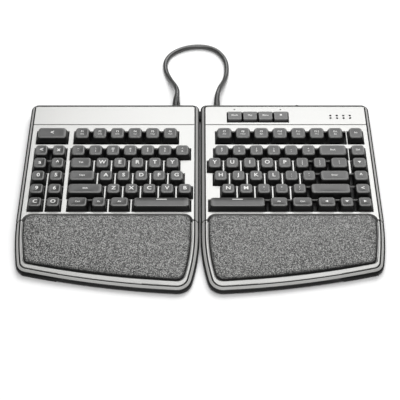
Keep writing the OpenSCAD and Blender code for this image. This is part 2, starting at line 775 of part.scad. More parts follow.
// Wall on a tray's edge between two distances from the case side
module edge_wall(from, to, top_z) {
    difference() {
        prism(case_outline(from), rim_z - touch, top_z);
        prism(case_outline(to), rim_z - over, top_z + over);
    }
}

// Holes in the back of a half where the cables come out
module exit_holes(side) {
    for (x = exits(side))
        along_y(x, boot_r + boot_clear, back_y - cover_inset, back_y + over);
}

module foot_seats(places) {
    for (place = places)
        upright(place, foot_r, foot_rise - over, foot_top_z);
}

// Black tray of a module, with the posts that carry the key works and the covers
module module_tray(side) {
    difference() {
        union() {
            tray(seam_y + seam_gap / 2, back_y + over);
            intersection() {
                union() {
                    edge_wall(0, lip_in, wall_z);
                    edge_wall(wall_in + touch, lip_in, lip_z);
                }
                slab(seam_y + seam_gap / 2, back_y + over);
            }
            for (place = clamp_posts)
                upright(place, post_r, floor_z - touch, guide_z);
            for (place = rear_posts)
                upright(place, post_r, floor_z - touch, guide_z);
            for (place = guide_posts)
                upright(place, cover_post_r, floor_z - touch, guide_z);
            intersection() {
                prism(case_outline(0), foot_rise, rim_z);
                box([0, back_y - 2 * back_r - pivot_clear, 0], [block_reach, back_y + over, rim_z]);
            }
            if (side > 0)
                for (place = board_posts)
                    upright(place, board_post_r, floor_z - touch, board_z);
        }
        for (place = concat(clamp_posts, rear_posts))
            screw_hole(place, guide_z + over);
        for (place = tab_plates) {
            screw_hole(place, rim_z);
            tab_plate(place, pivot_clear / 2);
        }
        foot_seats(module_feet);
        exit_holes(side);
    }
}

// Tab of the palm rest in its slot, or the slot with a clearance
module tab_plate(place, clear) {
    box(
        [place.x - tab_plate_w / 2 - clear, seam_y - rim_w, floor_z],
        [place.x + tab_plate_w / 2 + clear, seam_y + rim_w + clear, floor_z + tab_plate_t + clear]);
}

module left_base() {
    color("#1c1c1c")
        difference() {
            on_side(-1)
                module_tray(-1);
            upright(pivot, pivot_hole_r, -over, rim_z + over);
            strap_shape(pivot_clear, -over, strap_top_z);
            upright([-strap_reach, pivot.y], screw_hole_r, strap_z, rim_z - touch);
        }
}

module right_base() {
    color("#1c1c1c")
        difference() {
            union() {
                difference() {
                    module_tray(1);
                    upright(pivot, pivot_hole_r, -over, lug_z);
                }
                upright(pivot, knuckle_r, lug_z, lug_top_z);
                box(
                    [0, pivot.y - knuckle_r, lug_z],
                    [back_r + half_gap, pivot.y, lug_top_z]);
            }
            upright(pivot, pin_r + pin_clear, lug_z - over, rim_z + over);
        }
}

// Strap along X from its screw to the pin
module strap_shape(clear, z, top_z) {
    round_r = knuckle_r + clear;
    upright(pivot, round_r, z, top_z);
    upright([-strap_reach, pivot.y], round_r, z, top_z);
    box([-strap_reach, pivot.y - round_r, z], [0, pivot.y + round_r, top_z]);
}

module pivot_strap() {
    color("#262626")
        difference() {
            union() {
                strap_shape(0, strap_z, strap_top_z);
                upright(pivot, pin_r, strap_top_z - touch, lug_top_z - touch);
            }
            upright([-strap_reach, pivot.y], head_hole_r, -over, head_z + strap_lift);
            upright([-strap_reach, pivot.y], screw_hole_r, head_z, strap_top_z + over);
        }
}

// Grey band with a sloped face round the whole outline; its slope is 1 along the palm rest, else 0
module band_ring(slope, foot_z) {
    corners = [
        [band_ledge, foot_z, wall_fall], [band_top_inset, lip_z, palm_fall],
        [wall_in, lip_z, palm_fall], [wall_in, foot_z, wall_fall]
    ];
    n = len(case_outline(0));
    polyhedron(
        points = [
            for (c = corners, p = case_outline(c[0])) [p.x, p.y, c[1] - slope * c[2] * fall_share(p)]
        ],
        faces = ring_faces(0, n, len(corners), len(corners)));
}

module side_band(side) {
    color("#a6a6a4")
        on_side(side)
            difference() {
                intersection() {
                    band_ring(0, wall_z);
                    slab(seam_y + seam_gap / 2, back_y + over);
                }
                exit_holes(side);
            }
}

module palm_band(side) {
    color("#a6a6a4")
        on_side(side)
            difference() {
                intersection() {
                    band_ring(1, wall_z - edge_rise / 2);
                    slab(front_y - over, seam_y - seam_gap / 2);
                }
                under_palm(wall_z, wall_fall);
            }
}

// Cover with walls, open underneath, before its openings
module cover_shell(y, to_y, front_wall) {
    difference() {
        intersection() {
            prism(case_outline(cover_inset), rim_z, case_z);
            slab(y, to_y);
        }
        intersection() {
            prism(case_outline(cover_inset + cover_wall), rim_z - over, ceiling_z);
            slab(front_wall, to_y + over);
        }
    }
}

module top_cover(side, slots, single) {
    color("#dededc")
        difference() {
            on_side(side)
                difference() {
                    union() {
                        cover_shell(
                            seam_y + seam_gap / 2, rear_seam_y - seam_gap / 2, cover_front_y);
                        for (place = clamp_posts)
                            upright(place, cover_post_r, guide_top_z, ceiling_z + touch);
                    }
                    prism(pad_outline(-pad_clear), rim_z - over, case_z + over);
                    for (place = clamp_posts)
                        upright(place, screw_hole_r, guide_top_z - over, ceiling_z);
                }
            for (slot = slots)
                opening(slot[0], slot[len(slot) - 1]);
            for (cell = single)
                opening(cell, cell);
        }
}

module rear_cover(side) {
    color("#dededc")
        on_side(side)
            difference() {
                union() {
                    cover_shell(rear_seam_y + seam_gap / 2, back_y, rear_seam_y);
                    for (place = rear_posts)
                        upright(place, post_r, guide_z, ceiling_z + touch);
                }
                for (place = rear_posts)
                    upright(place, screw_hole_r, guide_z - over, ceiling_z);
                for (x = exits(side))
                    along_y(x, boot_r + boot_clear, back_y - cover_inset - cover_wall - over, back_y);
                if (side > 0) {
                    opening(button_cells[0], button_cells[3]);
                    for (x = lens_xs, y = lens_ys)
                        upright([x, y], lens_r + touch, ceiling_z - over, case_z + over);
                }
            }
}

// Flat field of the key works, reaching under the buttons on the right half
module field(side, z, top_z) {
    on_side(side)
        box([field_in, field_front, z], [field_out, field_back, top_z]);
    if (side > 0)
        box([button_field[0], field_back - over, z], [button_field[1], button_field_back, top_z]);
}

module post_holes(side) {
    on_side(side) {
        for (place = clamp_posts)
            upright(place, post_r + sheet_clear, 0, guide_z);
        for (place = guide_posts)
            upright(place, cover_post_r + sheet_clear, 0, guide_z);
    }
}

module contact_sheet(side) {
    color("#b9c4ae")
        difference() {
            field(side, floor_z, contact_z);
            post_holes(side);
        }
}

module dome(cell, top_z) {
    translate([cell.x, cell.y, dome_z - touch])
        cylinder(r1 = dome_r, r2 = dome_top_r, h = top_z - dome_z + touch);
}

module dome_sheet(side, keys) {
    color("#d8d4c6")
        difference() {
            union() {
                field(side, contact_z, dome_z);
                for (cell = keys)
                    dome(cell, dome_top_z);
                if (side > 0)
                    for (cell = button_cells)
                        dome(cell, button_dome_z);
            }
            post_holes(side);
        }
}

module chimney(x, y, w, z, top_z) {
    box([x - w / 2, y - w / 2, z], [x + w / 2, y + w / 2, top_z]);
}

module key_guide(side, keys) {
    color("#2a2a2a")
        difference() {
            union() {
                field(side, guide_z, guide_top_z);
                for (cell = keys, x = stem_places(cell[2]))
                    chimney(cell.x + x, cell.y, chimney_w, guide_top_z - touch, guide_top_z + chimney_h);
            }
            for (cell = keys, x = stem_places(cell[2]))
                chimney(cell.x + x, cell.y, stem_w + 2 * stem_clear, guide_z - over, cap_z);
            on_side(side)
                for (place = clamp_posts)
                    upright(place, screw_hole_r, guide_z - over, guide_top_z + over);
        }
}

module palm_base(side) {
    color("#1c1c1c")
        on_side(side)
            difference() {
                union() {
                    tray(front_y - over, seam_y - seam_gap / 2);
                    intersection() {
                        union() {
                            intersection() {
                                edge_wall(0, lip_in, case_z);
                                under_palm(wall_z, wall_fall);
                            }
                            intersection() {
                                edge_wall(wall_in + touch, lip_in, case_z);
                                under_palm(lip_z, palm_fall);
                            }
                        }
                        slab(front_y - over, seam_y - seam_gap / 2);
                    }
                    for (place = palm_posts)
                        upright(place, post_r, floor_z - touch, rim_z);
                    for (place = tab_plates)
                        tab_plate(place, 0);
                }
                for (place = palm_posts)
                    screw_hole(place, rim_z + over);
                for (place = tab_plates)
                    upright(place, screw_hole_r, floor_z - over, floor_z + tab_plate_t + over);
                foot_seats(palm_feet);
            }
}

module palm_frame(side) {
    color("#dededc")
        on_side(side)
            difference() {
                union() {
                    difference() {
                        intersection() {
                            prism(case_outline(cover_inset), rim_z, case_z);
                            slab(front_y - over, seam_y - seam_gap / 2);
                            under_palm(case_z, palm_fall);
                        }
                        intersection() {
                            prism(case_outline(cover_inset + cover_wall), rim_z - over, case_z);
                            slab(front_y, seam_y - seam_gap / 2 - cover_wall);
                            under_palm(case_z - plate_depth, palm_fall);
                        }
                    }
                    intersection() {
                        for (place = palm_posts)
                            upright(place, post_r, rim_z, case_z);
                        under_palm(case_z - plate_depth + touch, palm_fall);
                    }
                }
                difference() {
                    prism(pad_outline(-pad_clear), rim_z, case_z + over);
                    under_palm(case_z - pad_recess, palm_fall);
                }
                for (place = palm_posts)
                    upright(place, screw_hole_r, rim_z - over, palm_shank_z(place) + touch);
            }
}

// Padded rest: drawn in at its seat, full at the frame's edge and crowned above it
module palm_pad(side) {
    rings = [for (level = pad_levels) pad_ring(level)];
    n = len(rings[0]);
    top = 2 + (len(rings) - 1) * n;
    middle_z = palm_z(pad_middle);
    ends = [
        [pad_middle.x, pad_middle.y, middle_z - 2 * pad_recess],
        [pad_middle.x, pad_middle.y, middle_z + pad_crown]
    ];
    color("#4a4a4a")
        on_side(side)
            difference() {
                polyhedron(
                    points = concat(ends, [for (ring = rings) each ring]),
                    faces = concat(
                        [for (s = [0:n - 1]) [0, 2 + s, 2 + (s + 1) % n]],
                        ring_faces(2, n, len(rings) - 1, len(rings)),
                        [for (s = [0:n - 1]) [1, top + (s + 1) % n, top + s]]));
                under_palm(case_z - pad_recess, palm_fall);
            }
}

module feet(side) {
    color("#141414")
        on_side(side)
            for (place = concat(module_feet, palm_feet))
                upright(place, foot_r - touch, 0, foot_top_z);
}

module screws(side) {
    color("silver") {
        on_side(side) {
            for (place = concat(clamp_posts, rear_posts))
                screw(place, shank_top_z);
            for (place = palm_posts)
                screw(place, palm_shank_z(place));
            for (place = tab_plates)
                screw(place, floor_z + tab_plate_t - touch);
        }
        if (side < 0)
            translate([0, 0, strap_lift])
                screw([-strap_reach, pivot.y], rim_z - strap_lift - 2 * touch);
    }
}

// Rubber boot with a flange inside the wall and a tapered tail to the cable's end
module strain_relief(place) {
    wall_y = back_y - cover_inset - cover_wall;
    color("#2e2e2e") {
        along_y(place.x, boot_flange_r, wall_y - boot_flange_t, wall_y);
        along_y(place.x, boot_r, wall_y - touch, back_y);
        translate([place.x, back_y - touch, exit_z])
            rotate([-90, 0, 0])
                cylinder(r1 = boot_r, r2 = cable_d / 2, h = place.y - back_y + touch);
    }
}

module host_cable_grommet() {
    wall_y = back_y - cover_inset - cover_wall;
    end_y = wall_y + cover_wall + grommet_nose;
    x = half_gap + grommet_x;
    color("#2e2e2e")
        difference() {
            union() {
                along_y(x, boot_flange_r, wall_y - boot_flange_t, wall_y);
                along_y(x, boot_r, wall_y - touch, end_y);
            }
            along_y(x, grommet_bore_r, wall_y - boot_flange_t - over, end_y + over);
        }
}

module link_cable() {
    rings = len(cable_route);
    points = [for (k = [0:rings - 1]) each cable_ring(k)];
    sides = [
        for (k = [0:rings - 2], s = [0:cable_sides - 1])
            let (a = k * cable_sides + s, b = k * cable_sides + (s + 1) % cable_sides)
            each [[a, b, b + cable_sides], [a, b + cable_sides, a + cable_sides]]
    ];
    last = (rings - 1) * cable_sides;
    start_cap = [for (s = [1:cable_sides - 2]) [0, s + 1, s]];
    end_cap = [for (s = [1:cable_sides - 2]) [last, last + s, last + s + 1]];
    color("#4c4c4c")
        polyhedron(points = points, faces = concat(sides, start_cap, end_cap));
}

module controller_board() {
    color("#2c6b3c") {
        box(
            [board_from.x, board_from.y, board_z],
            [board_to.x, board_to.y, board_z + board_t]);
        for (x = lens_xs, y = lens_ys)
            upright([x, y], light_r, board_z + board_t - touch, ceiling_z - touch);
    }
}

module indicator_lenses() {
    color("#202020")
        for (x = lens_xs, y = lens_ys)
            upright([x, y], lens_r, ceiling_z, case_z + lens_rise);
}

left_base();
side_band(-1);  // left_side_band
top_cover(-1, left_slots, left_single);  // left_top_cover
rear_cover(-1);  // left_rear_cover
key_guide(-1, left_keys);  // left_key_guide
dome_sheet(-1, left_keys);  // left_dome_sheet
contact_sheet(-1);  // left_contact_sheet
palm_base(-1);  // left_palm_base
palm_band(-1);  // left_palm_band
palm_frame(-1);  // left_palm_frame
palm_pad(-1);  // left_palm_pad
feet(-1);  // left_feet
screws(-1);  // left_screws
strain_relief(cable_start);  // left_strain_relief
pivot_strap();
right_base();
side_band(1);  // right_side_band
top_cover(1, right_slots, right_single);  // right_top_cover
rear_cover(1);  // right_rear_cover
key_guide(1, concat(right_keys, button_cells));  // right_key_guide
dome_sheet(1, right_keys);  // right_dome_sheet
contact_sheet(1);  // right_contact_sheet
palm_base(1);  // right_palm_base
palm_band(1);  // right_palm_band
palm_frame(1);  // right_palm_frame
palm_pad(1);  // right_palm_pad
feet(1);  // right_feet
screws(1);  // right_screws
strain_relief(cable_end);  // right_strain_relief
controller_board();
indicator_lenses();
host_cable_grommet();
link_cable();
caps(escape_keys);  // escape_key
caps(shortcut_cells);  // shortcut_keys
caps(left_function_cells);  // left_function_keys
caps(left_number_cells);  // left_number_keys
caps(tab_cells);  // tab_key
caps(left_upper_cells);  // left_upper_keys
caps(caps_cells);  // caps_key
caps(left_home_cells);  // left_home_keys
caps(left_shift_cells);  // left_shift_key
caps(left_lower_cells);  // left_lower_keys
caps(left_bottom_cells);  // left_bottom_keys
caps(left_space_cells);  // left_space_bar
caps(right_function_cells);  // right_function_keys
caps(right_number_cells);  // right_number_keys
caps(backspace_cells);  // backspace_key
caps(right_upper_cells);  // right_upper_keys
caps(right_home_cells);  // right_home_keys
caps(enter_cells);  // enter_key
caps(right_lower_cells);  // right_lower_keys
caps(right_shift_cells);  // right_shift_key
caps(right_bottom_cells);  // right_bottom_keys
caps(right_space_cells);  // right_space_bar
caps(navigation_cells);  // navigation_keys
button(0);  // hot_button_1
button(1);  // hot_button_2
button(2);  // hot_button_3
button(3);  // hot_button_4
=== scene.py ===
"""Split keyboard: the looks of its pieces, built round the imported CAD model.

Laid out as an add-on and run as a script. Sizes are in metres, in the CAD model's own frame.
"""

import json
import math

import bmesh
import bpy
from bpy.props import FloatProperty, FloatVectorProperty, PointerProperty
from mathutils import Matrix, Vector
from mathutils.bvhtree import BVHTree
from mathutils.geometry import convex_hull_2d


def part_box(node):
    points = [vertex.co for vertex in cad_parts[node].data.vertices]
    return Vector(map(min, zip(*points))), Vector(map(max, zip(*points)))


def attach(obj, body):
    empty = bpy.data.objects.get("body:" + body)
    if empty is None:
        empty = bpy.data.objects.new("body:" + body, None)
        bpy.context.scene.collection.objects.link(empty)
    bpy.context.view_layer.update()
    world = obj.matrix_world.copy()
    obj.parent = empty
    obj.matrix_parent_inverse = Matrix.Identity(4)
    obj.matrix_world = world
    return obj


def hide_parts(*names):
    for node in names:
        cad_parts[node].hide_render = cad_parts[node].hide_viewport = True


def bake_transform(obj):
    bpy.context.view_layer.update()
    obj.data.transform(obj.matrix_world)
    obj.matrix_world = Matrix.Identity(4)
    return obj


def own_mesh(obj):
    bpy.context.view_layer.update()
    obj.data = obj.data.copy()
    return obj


bl_info = {
    "name": "Split keyboard",
    "version": (1, 0, 0),
    "blender": (4, 5, 0),
    "location": "View3D > Sidebar > Keyboard",
    "description": "Dresses the CAD model of a split keyboard with its visible pieces",
    "category": "Add Mesh",
}

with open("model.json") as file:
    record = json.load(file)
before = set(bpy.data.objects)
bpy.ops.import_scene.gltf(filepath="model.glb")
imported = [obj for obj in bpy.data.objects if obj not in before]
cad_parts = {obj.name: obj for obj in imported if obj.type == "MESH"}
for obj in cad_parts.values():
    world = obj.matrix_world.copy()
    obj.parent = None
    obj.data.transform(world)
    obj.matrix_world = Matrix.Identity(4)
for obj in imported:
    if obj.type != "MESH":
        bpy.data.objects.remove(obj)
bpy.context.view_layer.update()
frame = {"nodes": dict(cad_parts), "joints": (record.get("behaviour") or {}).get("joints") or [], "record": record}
MM = 0.001

SLOT = {part["node"]: part["material_slot"] for part in frame["record"]["subparts"]}
BODY = {
    node: body
    for body, nodes in frame["record"]["behaviour"]["bodies"].items()
    for node in nodes
}
HALVES = ("left", "right")
CASE_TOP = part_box("left_top_cover")[1].z
BUTTON_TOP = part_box("hot_button_1")[1].z
DOME_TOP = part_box("left_dome_sheet")[1].z
DOME_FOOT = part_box("left_dome_sheet")[0].z
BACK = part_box("left_base")[1].y
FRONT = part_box("left_palm_base")[0].y

# Centre line of the link cable from the left case wall to the right one, in millimetres
CABLE_ROUTE = [
    (-27.5, 138, 11.5), (-27.3, 146, 11.5), (-26.7, 153, 11.5), (-26.8, 159, 11.4), (-28.3, 165.5, 10.5),
    (-31, 174, 8), (-34.5, 183.5, 5.2), (-38.3, 194, 3.4), (-41, 204, 3), (-41.8, 214, 3),
    (-40.2, 223, 3), (-35.5, 232, 3), (-27.5, 239.5, 3), (-17, 245, 3), (-4.5, 247.5, 3),
    (8, 246.3, 3), (18.8, 240.8, 3), (26.5, 231, 3), (31, 219, 3), (32, 206, 3),
    (31, 194, 3.4), (28.8, 183, 5.2), (26.2, 174, 8), (23.8, 166.5, 10.2), (21.8, 159, 11.3),
    (20.5, 153, 11.5), (19.8, 146, 11.5), (19.5, 138, 11.5),
]
# Point of the route where the strand to the right half starts, and steps between two points
STRAND_START = 16
ROUTE_STEPS = 6
# Place of a boot's groove across its top, and its width, as shares of the boot's half width
GROOVE_SIDE, GROOVE_WIDTH = 0.35, 0.14

# Legends of the keys of each node, from back to front and left to right; a pair is two lines
LEGENDS = {
    "escape_key": ["<"],
    "shortcut_keys": ["<", "x", "a", "^", "0", "5", "9", "6", "C", "O"],
    "left_function_keys": [
        ("F1", "Help"), ("F2", "Undo"), ("F3", "Redo"), ("F4", "Cut"), ("F5", "Copy"), ("F6", "Paste"),
    ],
    "left_number_keys": [
        ("~", "`"), ("!", "1"), ("@", "2"), ("#", "3"), ("$", "4"), ("%", "5"), ("^", "6"),
    ],
    "tab_key": ["Tab"],
    "left_upper_keys": ["W", "E", "R", "T", "Y"],
    "caps_key": ["Caps"],
    "left_home_keys": ["A", "S", "D", "F", "G"],
    "left_shift_key": ["Shift"],
    "left_lower_keys": ["Z", "X", "C", "V", "B"],
    "left_bottom_keys": ["Ctrl", "Fn", "Alt"],
    "left_space_bar": ["bar"],
    "right_function_keys": [
        ("F7", "Find"), ("F8", "Home"), ("F9", "Mail"), ("F10", "Open"), ("F11", "Save"), ("F12", "Print"),
        ("Prt", "Sc"),
    ],
    "right_number_keys": [("&", "7"), ("*", "8"), ("(", "9"), (")", "0"), ("_", "-"), ("+", "=")],
    "backspace_key": ["Back"],
    "right_upper_keys": ["Y", "U", "I", "O", "P", ("{", "["), ("}", "]"), ("|", "\\")],
    "right_home_keys": ["H", "J", "K", "L", (":", ";"), ("\"", "'")],
    "enter_key": ["Enter"],
    "right_lower_keys": ["N", "M", ("<", ","), (">", "."), ("?", "/")],
    "right_shift_key": [""],
    "right_bottom_keys": ["Alt", "Ctrl", "left", "down", "right"],
    "right_space_bar": ["bar"],
    "navigation_keys": ["Ins", "Del", "down", "^", "<"],
    "hot_button_1": ["Mode"],
    "hot_button_2": ["Play"],
    "hot_button_3": ["Menu"],
    "hot_button_4": ["stop"],
}
# Boldness of letters, words and pairs of lines, as shares of their height
LETTER_BOLD, WORD_BOLD, LINE_BOLD = 0.025, 0.02, 0.012
# How far letters, words and a space bar's dash sit behind the middle of a key's top
LETTER_BACK, WORD_BACK, DASH_BACK = 0.6 * MM, 0.3 * MM, 3.3 * MM
# Distance of a line from the middle, as a share of its height, and the heights of signs and long lower lines
LINE_GAP, SIGN_SHARE, LONG_LINE_SHARE = 0.72, 0.8, 0.62
SPACE_BARS = ("left_space_bar", "right_space_bar")
SLOT_ROWS = (
    "escape_key", "left_function_keys", "left_number_keys", "right_function_keys", "right_number_keys",
    "backspace_key", *SPACE_BARS)

# Outlines of the legends that are signs, in units of the letters' height
SIGNS = {
    "left": [(-0.5, 0), (0.3, -0.45), (0.3, 0.45)],
    "right": [(0.5, 0), (-0.3, 0.45), (-0.3, -0.45)],
    "down": [(0, -0.4), (0.5, 0.3), (-0.5, 0.3)],
    "stop": [(-0.3, -0.3), (0.3, -0.3), (0.3, 0.3), (-0.3, 0.3)],
    "bar": [(-1.1, -0.11), (1.1, -0.11), (1.1, 0.11), (-1.1, 0.11)],
}


def linear(hex_colour):
    """Linear colour of an sRGB hex value."""
    channels = [int(hex_colour[k:k + 2], 16) / 255 for k in (1, 3, 5)]
    return [c / 12.92 if c <= 0.04045 else ((c + 0.055) / 1.055) ** 2.4 for c in channels] + [1.0]


def colour(name, description, hex_colour):
    """Colour property whose default is an sRGB hex value."""
    return FloatVectorProperty(
        name=name, description=description, subtype="COLOR", size=4, min=0, max=1,
        default=linear(hex_colour))


def length(name, description, millimetres):
    """Length property whose default is given in millimetres."""
    return FloatProperty(
        name=name, description=description, subtype="DISTANCE", unit="LENGTH", min=0,
        precision=5, default=millimetres * MM)


class KeyboardSizes(bpy.types.PropertyGroup):
    """Sizes of the details that are added to the CAD model"""

    cap_corner: length("Cap corner", "Radius of the corners of a key's top", 2.9)
    cap_base_corner: length("Cap foot corner", "Radius of the corners of a key's foot", 1.0)
    cap_fillet: length("Cap edge", "Radius of the edge round a key's top", 1.0)
    cap_dish: length("Cap dish", "Depth of the hollow in a key's top", 0.4)
    cap_side_lean: length("Cap side lean", "Lean of a key's left and right sides", 2.1)
    slot_side_lean: length("Slot key lean", "Lean of the sides of keys that share a slot", 2.7)
    cap_back_lean: length("Cap back lean", "Lean of a key's back", 0.6)
    cap_front_lean: length("Cap front lean", "Lean of a key's front", 2.6)
    cap_rise: length("Cap rise", "Height of a level key's top above the case", 6.0)
    cap_tilt: length("Cap tilt", "Rise of the back edge of the rear row's tops", 0.9)
    skirt_drop: length("Skirt depth", "Depth of a key's skirt below the case top", 1.4)
    cap_wall: length("Key wall", "Wall of a key's skirt", 1.3)
    cap_hollow: length("Key hollow", "Depth of the hollow under a key", 3.4)
    letter_height: length("Letter height", "Height of a single letter on a key", 5.0)
    line_height: length("Line height", "Height of each of two lines on a key", 2.4)
    word_height: length("Word height", "Height of a word on a key", 2.2)
    ink_depth: length("Ink depth", "Thickness of the printed legends", 0.04)
    back_edge: length("Back edge", "Radius of the rear covers' back edges", 1.6)
    cover_edge: length("Cover edge", "Radius of the silver covers' other outer edges", 0.45)
    opening_edge: length("Opening edge", "Radius of the edges of the covers' openings", 0.3)
    tray_edge: length("Tray edge", "Radius of the black trays' edges", 1.3)
    band_edge: length("Band edge", "Radius of the grey bands' edges", 0.15)
    pad_mesh: length("Pad mesh", "Size of the mesh of the palm pads' covers", 4.0)
    pad_swell: length("Pad swell", "Farthest that a palm pad swells under its cover", 1.4)
    # The pads' dark rim is painted shade
    pad_rim: length("Pad rim", "Width of the rim, painted dark as shade, that curves down into the frame", 2.6)
    cable_diameter: length("Cable diameter", "Diameter of the link cable", 5.6)


class KeyboardColours(bpy.types.PropertyGroup):
    """Colours of the finishes"""

    silver: colour("Silver", "Paint of the covers", "#b8b8b6")
    # Painted shade: the palm frames get the covers' paint in a darker grade
    palm_silver_shaded: colour("Palm silver shade", "Paint of the palm frames, darkened as painted shade", "#a4a4a2")
    # Painted shade: a dark grade of the paint for the covers' rounded edges
    painted_edge_shade: colour("Edge shade", "Edges of the covers, darkened as painted shade", "#6c6c6a")
    band: colour("Band", "Sloped band round the case", "#b0b0ae")
    black: colour("Black", "Trays under the case", "#0e0e0e")
    # Painted light: the keys are one dark plastic; their tops are painted paler as lit, their edges paler still as
    # a highlight
    key_top_lit: colour("Key tops, lit", "Tops of the keys, paler than the skirts as painted light", "#2a2a29")
    key_edge_highlight: colour("Key edge highlight", "Edges of the key tops, paler as a painted highlight", "#747473")
    key_skirt: colour("Key skirts", "Sides of the keys", "#0a0a0a")
    button_top: colour("Button tops", "Tops of the four buttons", "#424241")
    ink: colour("Legends", "Print on the keys", "#dadad8")
    # Painted highlight: pale grain tops stand for glints on the black leather
    pad_grain_glint: colour("Pad grain glints", "Raised grain of the palm pads, pale as painted glints", "#b2b2b0")
    pad_crease: colour("Pad creases", "Creases between the grain", "#131312")
    rubber: colour("Rubber", "Feet, strain reliefs and grommet", "#1c1c1b")
    cable: colour("Cable", "Jacket of the link cable", "#2e2e2d")
    floor: colour("Floor", "Floor under the keyboard", "#f2f2f2")


def add_node(tree, kind, settings, inputs, out=0, to=None):
    """Adds a node; an input is a value or a socket, and the output that is given back can feed a socket."""
    node = tree.nodes.new(kind)
    for name, value in settings.items():
        setattr(node, name, value)
    for key, value in inputs.items():
        if isinstance(value, bpy.types.NodeSocket):
            tree.links.new(value, node.inputs[key])
        else:
            node.inputs[key].default_value = value
    if to:
        tree.links.new(node.outputs[out], to)
    return node.outputs[out] if node.outputs else None


def per(millimetres):
    """Texture scale that gives a pattern of this size."""
    return 1 / (millimetres * MM)


def start_material(name, values):
    """Material with its constant values on the shader's own sockets, and the Object coordinates."""
    material = bpy.data.materials.new(name)
    material.use_nodes = True
    tree = material.node_tree
    shader = tree.nodes["Principled BSDF"].inputs
    for key, value in values.items():
        shader[key].default_value = value
    place = add_node(tree, "ShaderNodeTexCoord", {}, {}, "Object")
    return material, tree, shader, place


def shade(base, share):
    """A colour made darker or lighter by a share."""
    return [min(1.0, c * share) for c in base[:3]] + [1.0]


def painted(name, base):
    """Moulded plastic under silver paint."""
    material, tree, shader, place = start_material(
        name, {"Metallic": 0.2, "Coat Weight": 0.15, "Coat Roughness": 0.3})
    # Flakes of 0.05 mm wouldn't show, so they are drawn at 0.7 mm
    flakes = add_node(tree, "ShaderNodeTexNoise", {}, {"Vector": place, "Scale": per(0.7), "Detail": 3.0})
    cloud = add_node(tree, "ShaderNodeTexNoise", {}, {"Vector": place, "Scale": per(60), "Detail": 2.0})
    share = add_node(tree, "ShaderNodeMath", {"operation": "MULTIPLY"}, {0: flakes, 1: cloud})
    add_node(
        tree, "ShaderNodeMix", {"data_type": "RGBA"}, {0: share, 6: shade(base, 0.95), 7: shade(base, 1.08)},
        2, shader["Base Color"])
    add_node(
        tree, "ShaderNodeMapRange", {}, {"Value": flakes, "To Min": 0.3, "To Max": 0.42}, 0, shader["Roughness"])
    add_node(
        tree, "ShaderNodeBump", {}, {"Strength": 0.08, "Distance": 0.05 * MM, "Height": flakes},
        0, shader["Normal"])
    return material


def silver_painted_abs(name, colours):
    # Moulded ABS with silver paint: fine flakes in a satin coat, pale where the light is broad
    return painted(name, colours.silver)


def palm_shaded_abs(name, colours):
    # The same paint in a greyer grade, as painted shade: the palm frames lean to the front, away from the back
    # light, and stand back from the covers
    return painted(name, colours.palm_silver_shaded)


def edge_shade_abs(name, colours):
    # The covers' rounded edges take the same paint in a dark grade: painted shade that draws a fine dark line
    # along them
    return painted(name, colours.painted_edge_shade)


def moulded(name, base, size, depth, low, high, variation=0.12, gloss=0.5):
    """Moulded plastic or rubber with a spark-eroded texture of a size and depth in millimetres."""
    material, tree, shader, place = start_material(name, {"IOR": 1.5, "Specular IOR Level": gloss})
    grit = add_node(tree, "ShaderNodeTexNoise", {}, {"Vector": place, "Scale": per(size), "Detail": 2.0})
    cloud = add_node(tree, "ShaderNodeTexNoise", {}, {"Vector": place, "Scale": per(25), "Detail": 3.0})
    mixed = add_node(tree, "ShaderNodeMath", {"operation": "MULTIPLY"}, {0: grit, 1: cloud})
    add_node(
        tree, "ShaderNodeMix", {"data_type": "RGBA"},
        {0: mixed, 6: shade(base, 1 - variation), 7: shade(base, 1 + 2 * variation)}, 2, shader["Base Color"])
    add_node(
        tree, "ShaderNodeMapRange", {}, {"Value": cloud, "To Min": low, "To Max": high}, 0, shader["Roughness"])
    add_node(
        tree, "ShaderNodeBump", {}, {"Strength": 0.35, "Distance": depth * MM, "Height": grit},
        0, shader["Normal"])
    return material


def grey_abs(name, colours):
    # Grey moulded ABS: a fine even texture and a dull sheen
    return moulded(name, colours.band, 0.8, 0.05, 0.4, 0.55)


def black_abs(name, colours):
    # Black moulded ABS: a fine spark texture with a dull sheen that stays dark
    return moulded(name, colours.black, 0.9, 0.05, 0.42, 0.55, gloss=0.25)


def black_rubber(name, colours):
    # Moulded rubber: slightly dusty black with a soft sheen along its top
    return moulded(name, colours.rubber, 0.7, 0.08, 0.34, 0.48, gloss=0.7)


def key_abs(name, base, edge):
    """Key plastic with edges painted paler: a painted highlight where the round edge catches the light."""
    material, tree, shader, place = start_material(name, {"IOR": 1.5})
    grit = add_node(tree, "ShaderNodeTexNoise", {}, {"Vector": place, "Scale": per(0.6), "Detail": 2.0})
    cloud = add_node(tree, "ShaderNodeTexNoise", {}, {"Vector": place, "Scale": per(9), "Detail": 3.0})
    # The rim attribute marks the key's round edge for a painted highlight
    edge_highlight = add_node(tree, "ShaderNodeAttribute", {"attribute_name": "rim"}, {}, "Fac")
    grain = add_node(
        tree, "ShaderNodeMath", {"operation": "MULTIPLY_ADD"}, {0: grit, 1: 0.5, 2: cloud})
    tone = add_node(
        tree, "ShaderNodeMix", {"data_type": "RGBA"},
        {0: grain, 6: shade(base, 0.8), 7: shade(base, 1.15)}, 2)
    add_node(
        tree, "ShaderNodeMix", {"data_type": "RGBA"}, {0: edge_highlight, 6: tone, 7: edge}, 2, shader["Base Color"])
    add_node(
        tree, "ShaderNodeMapRange", {}, {"Value": cloud, "To Min": 0.26, "To Max": 0.4}, 0, shader["Roughness"])
    add_node(
        tree, "ShaderNodeBump", {}, {"Strength": 0.25, "Distance": 0.05 * MM, "Height": grit},
        0, shader["Normal"])
    return material


def key_top_abs(name, colours):
    # Key ABS: a satin top, painted paler than the skirts as lit, and edges paler still as a painted highlight
    return key_abs(name, colours.key_top_lit, colours.key_edge_highlight)


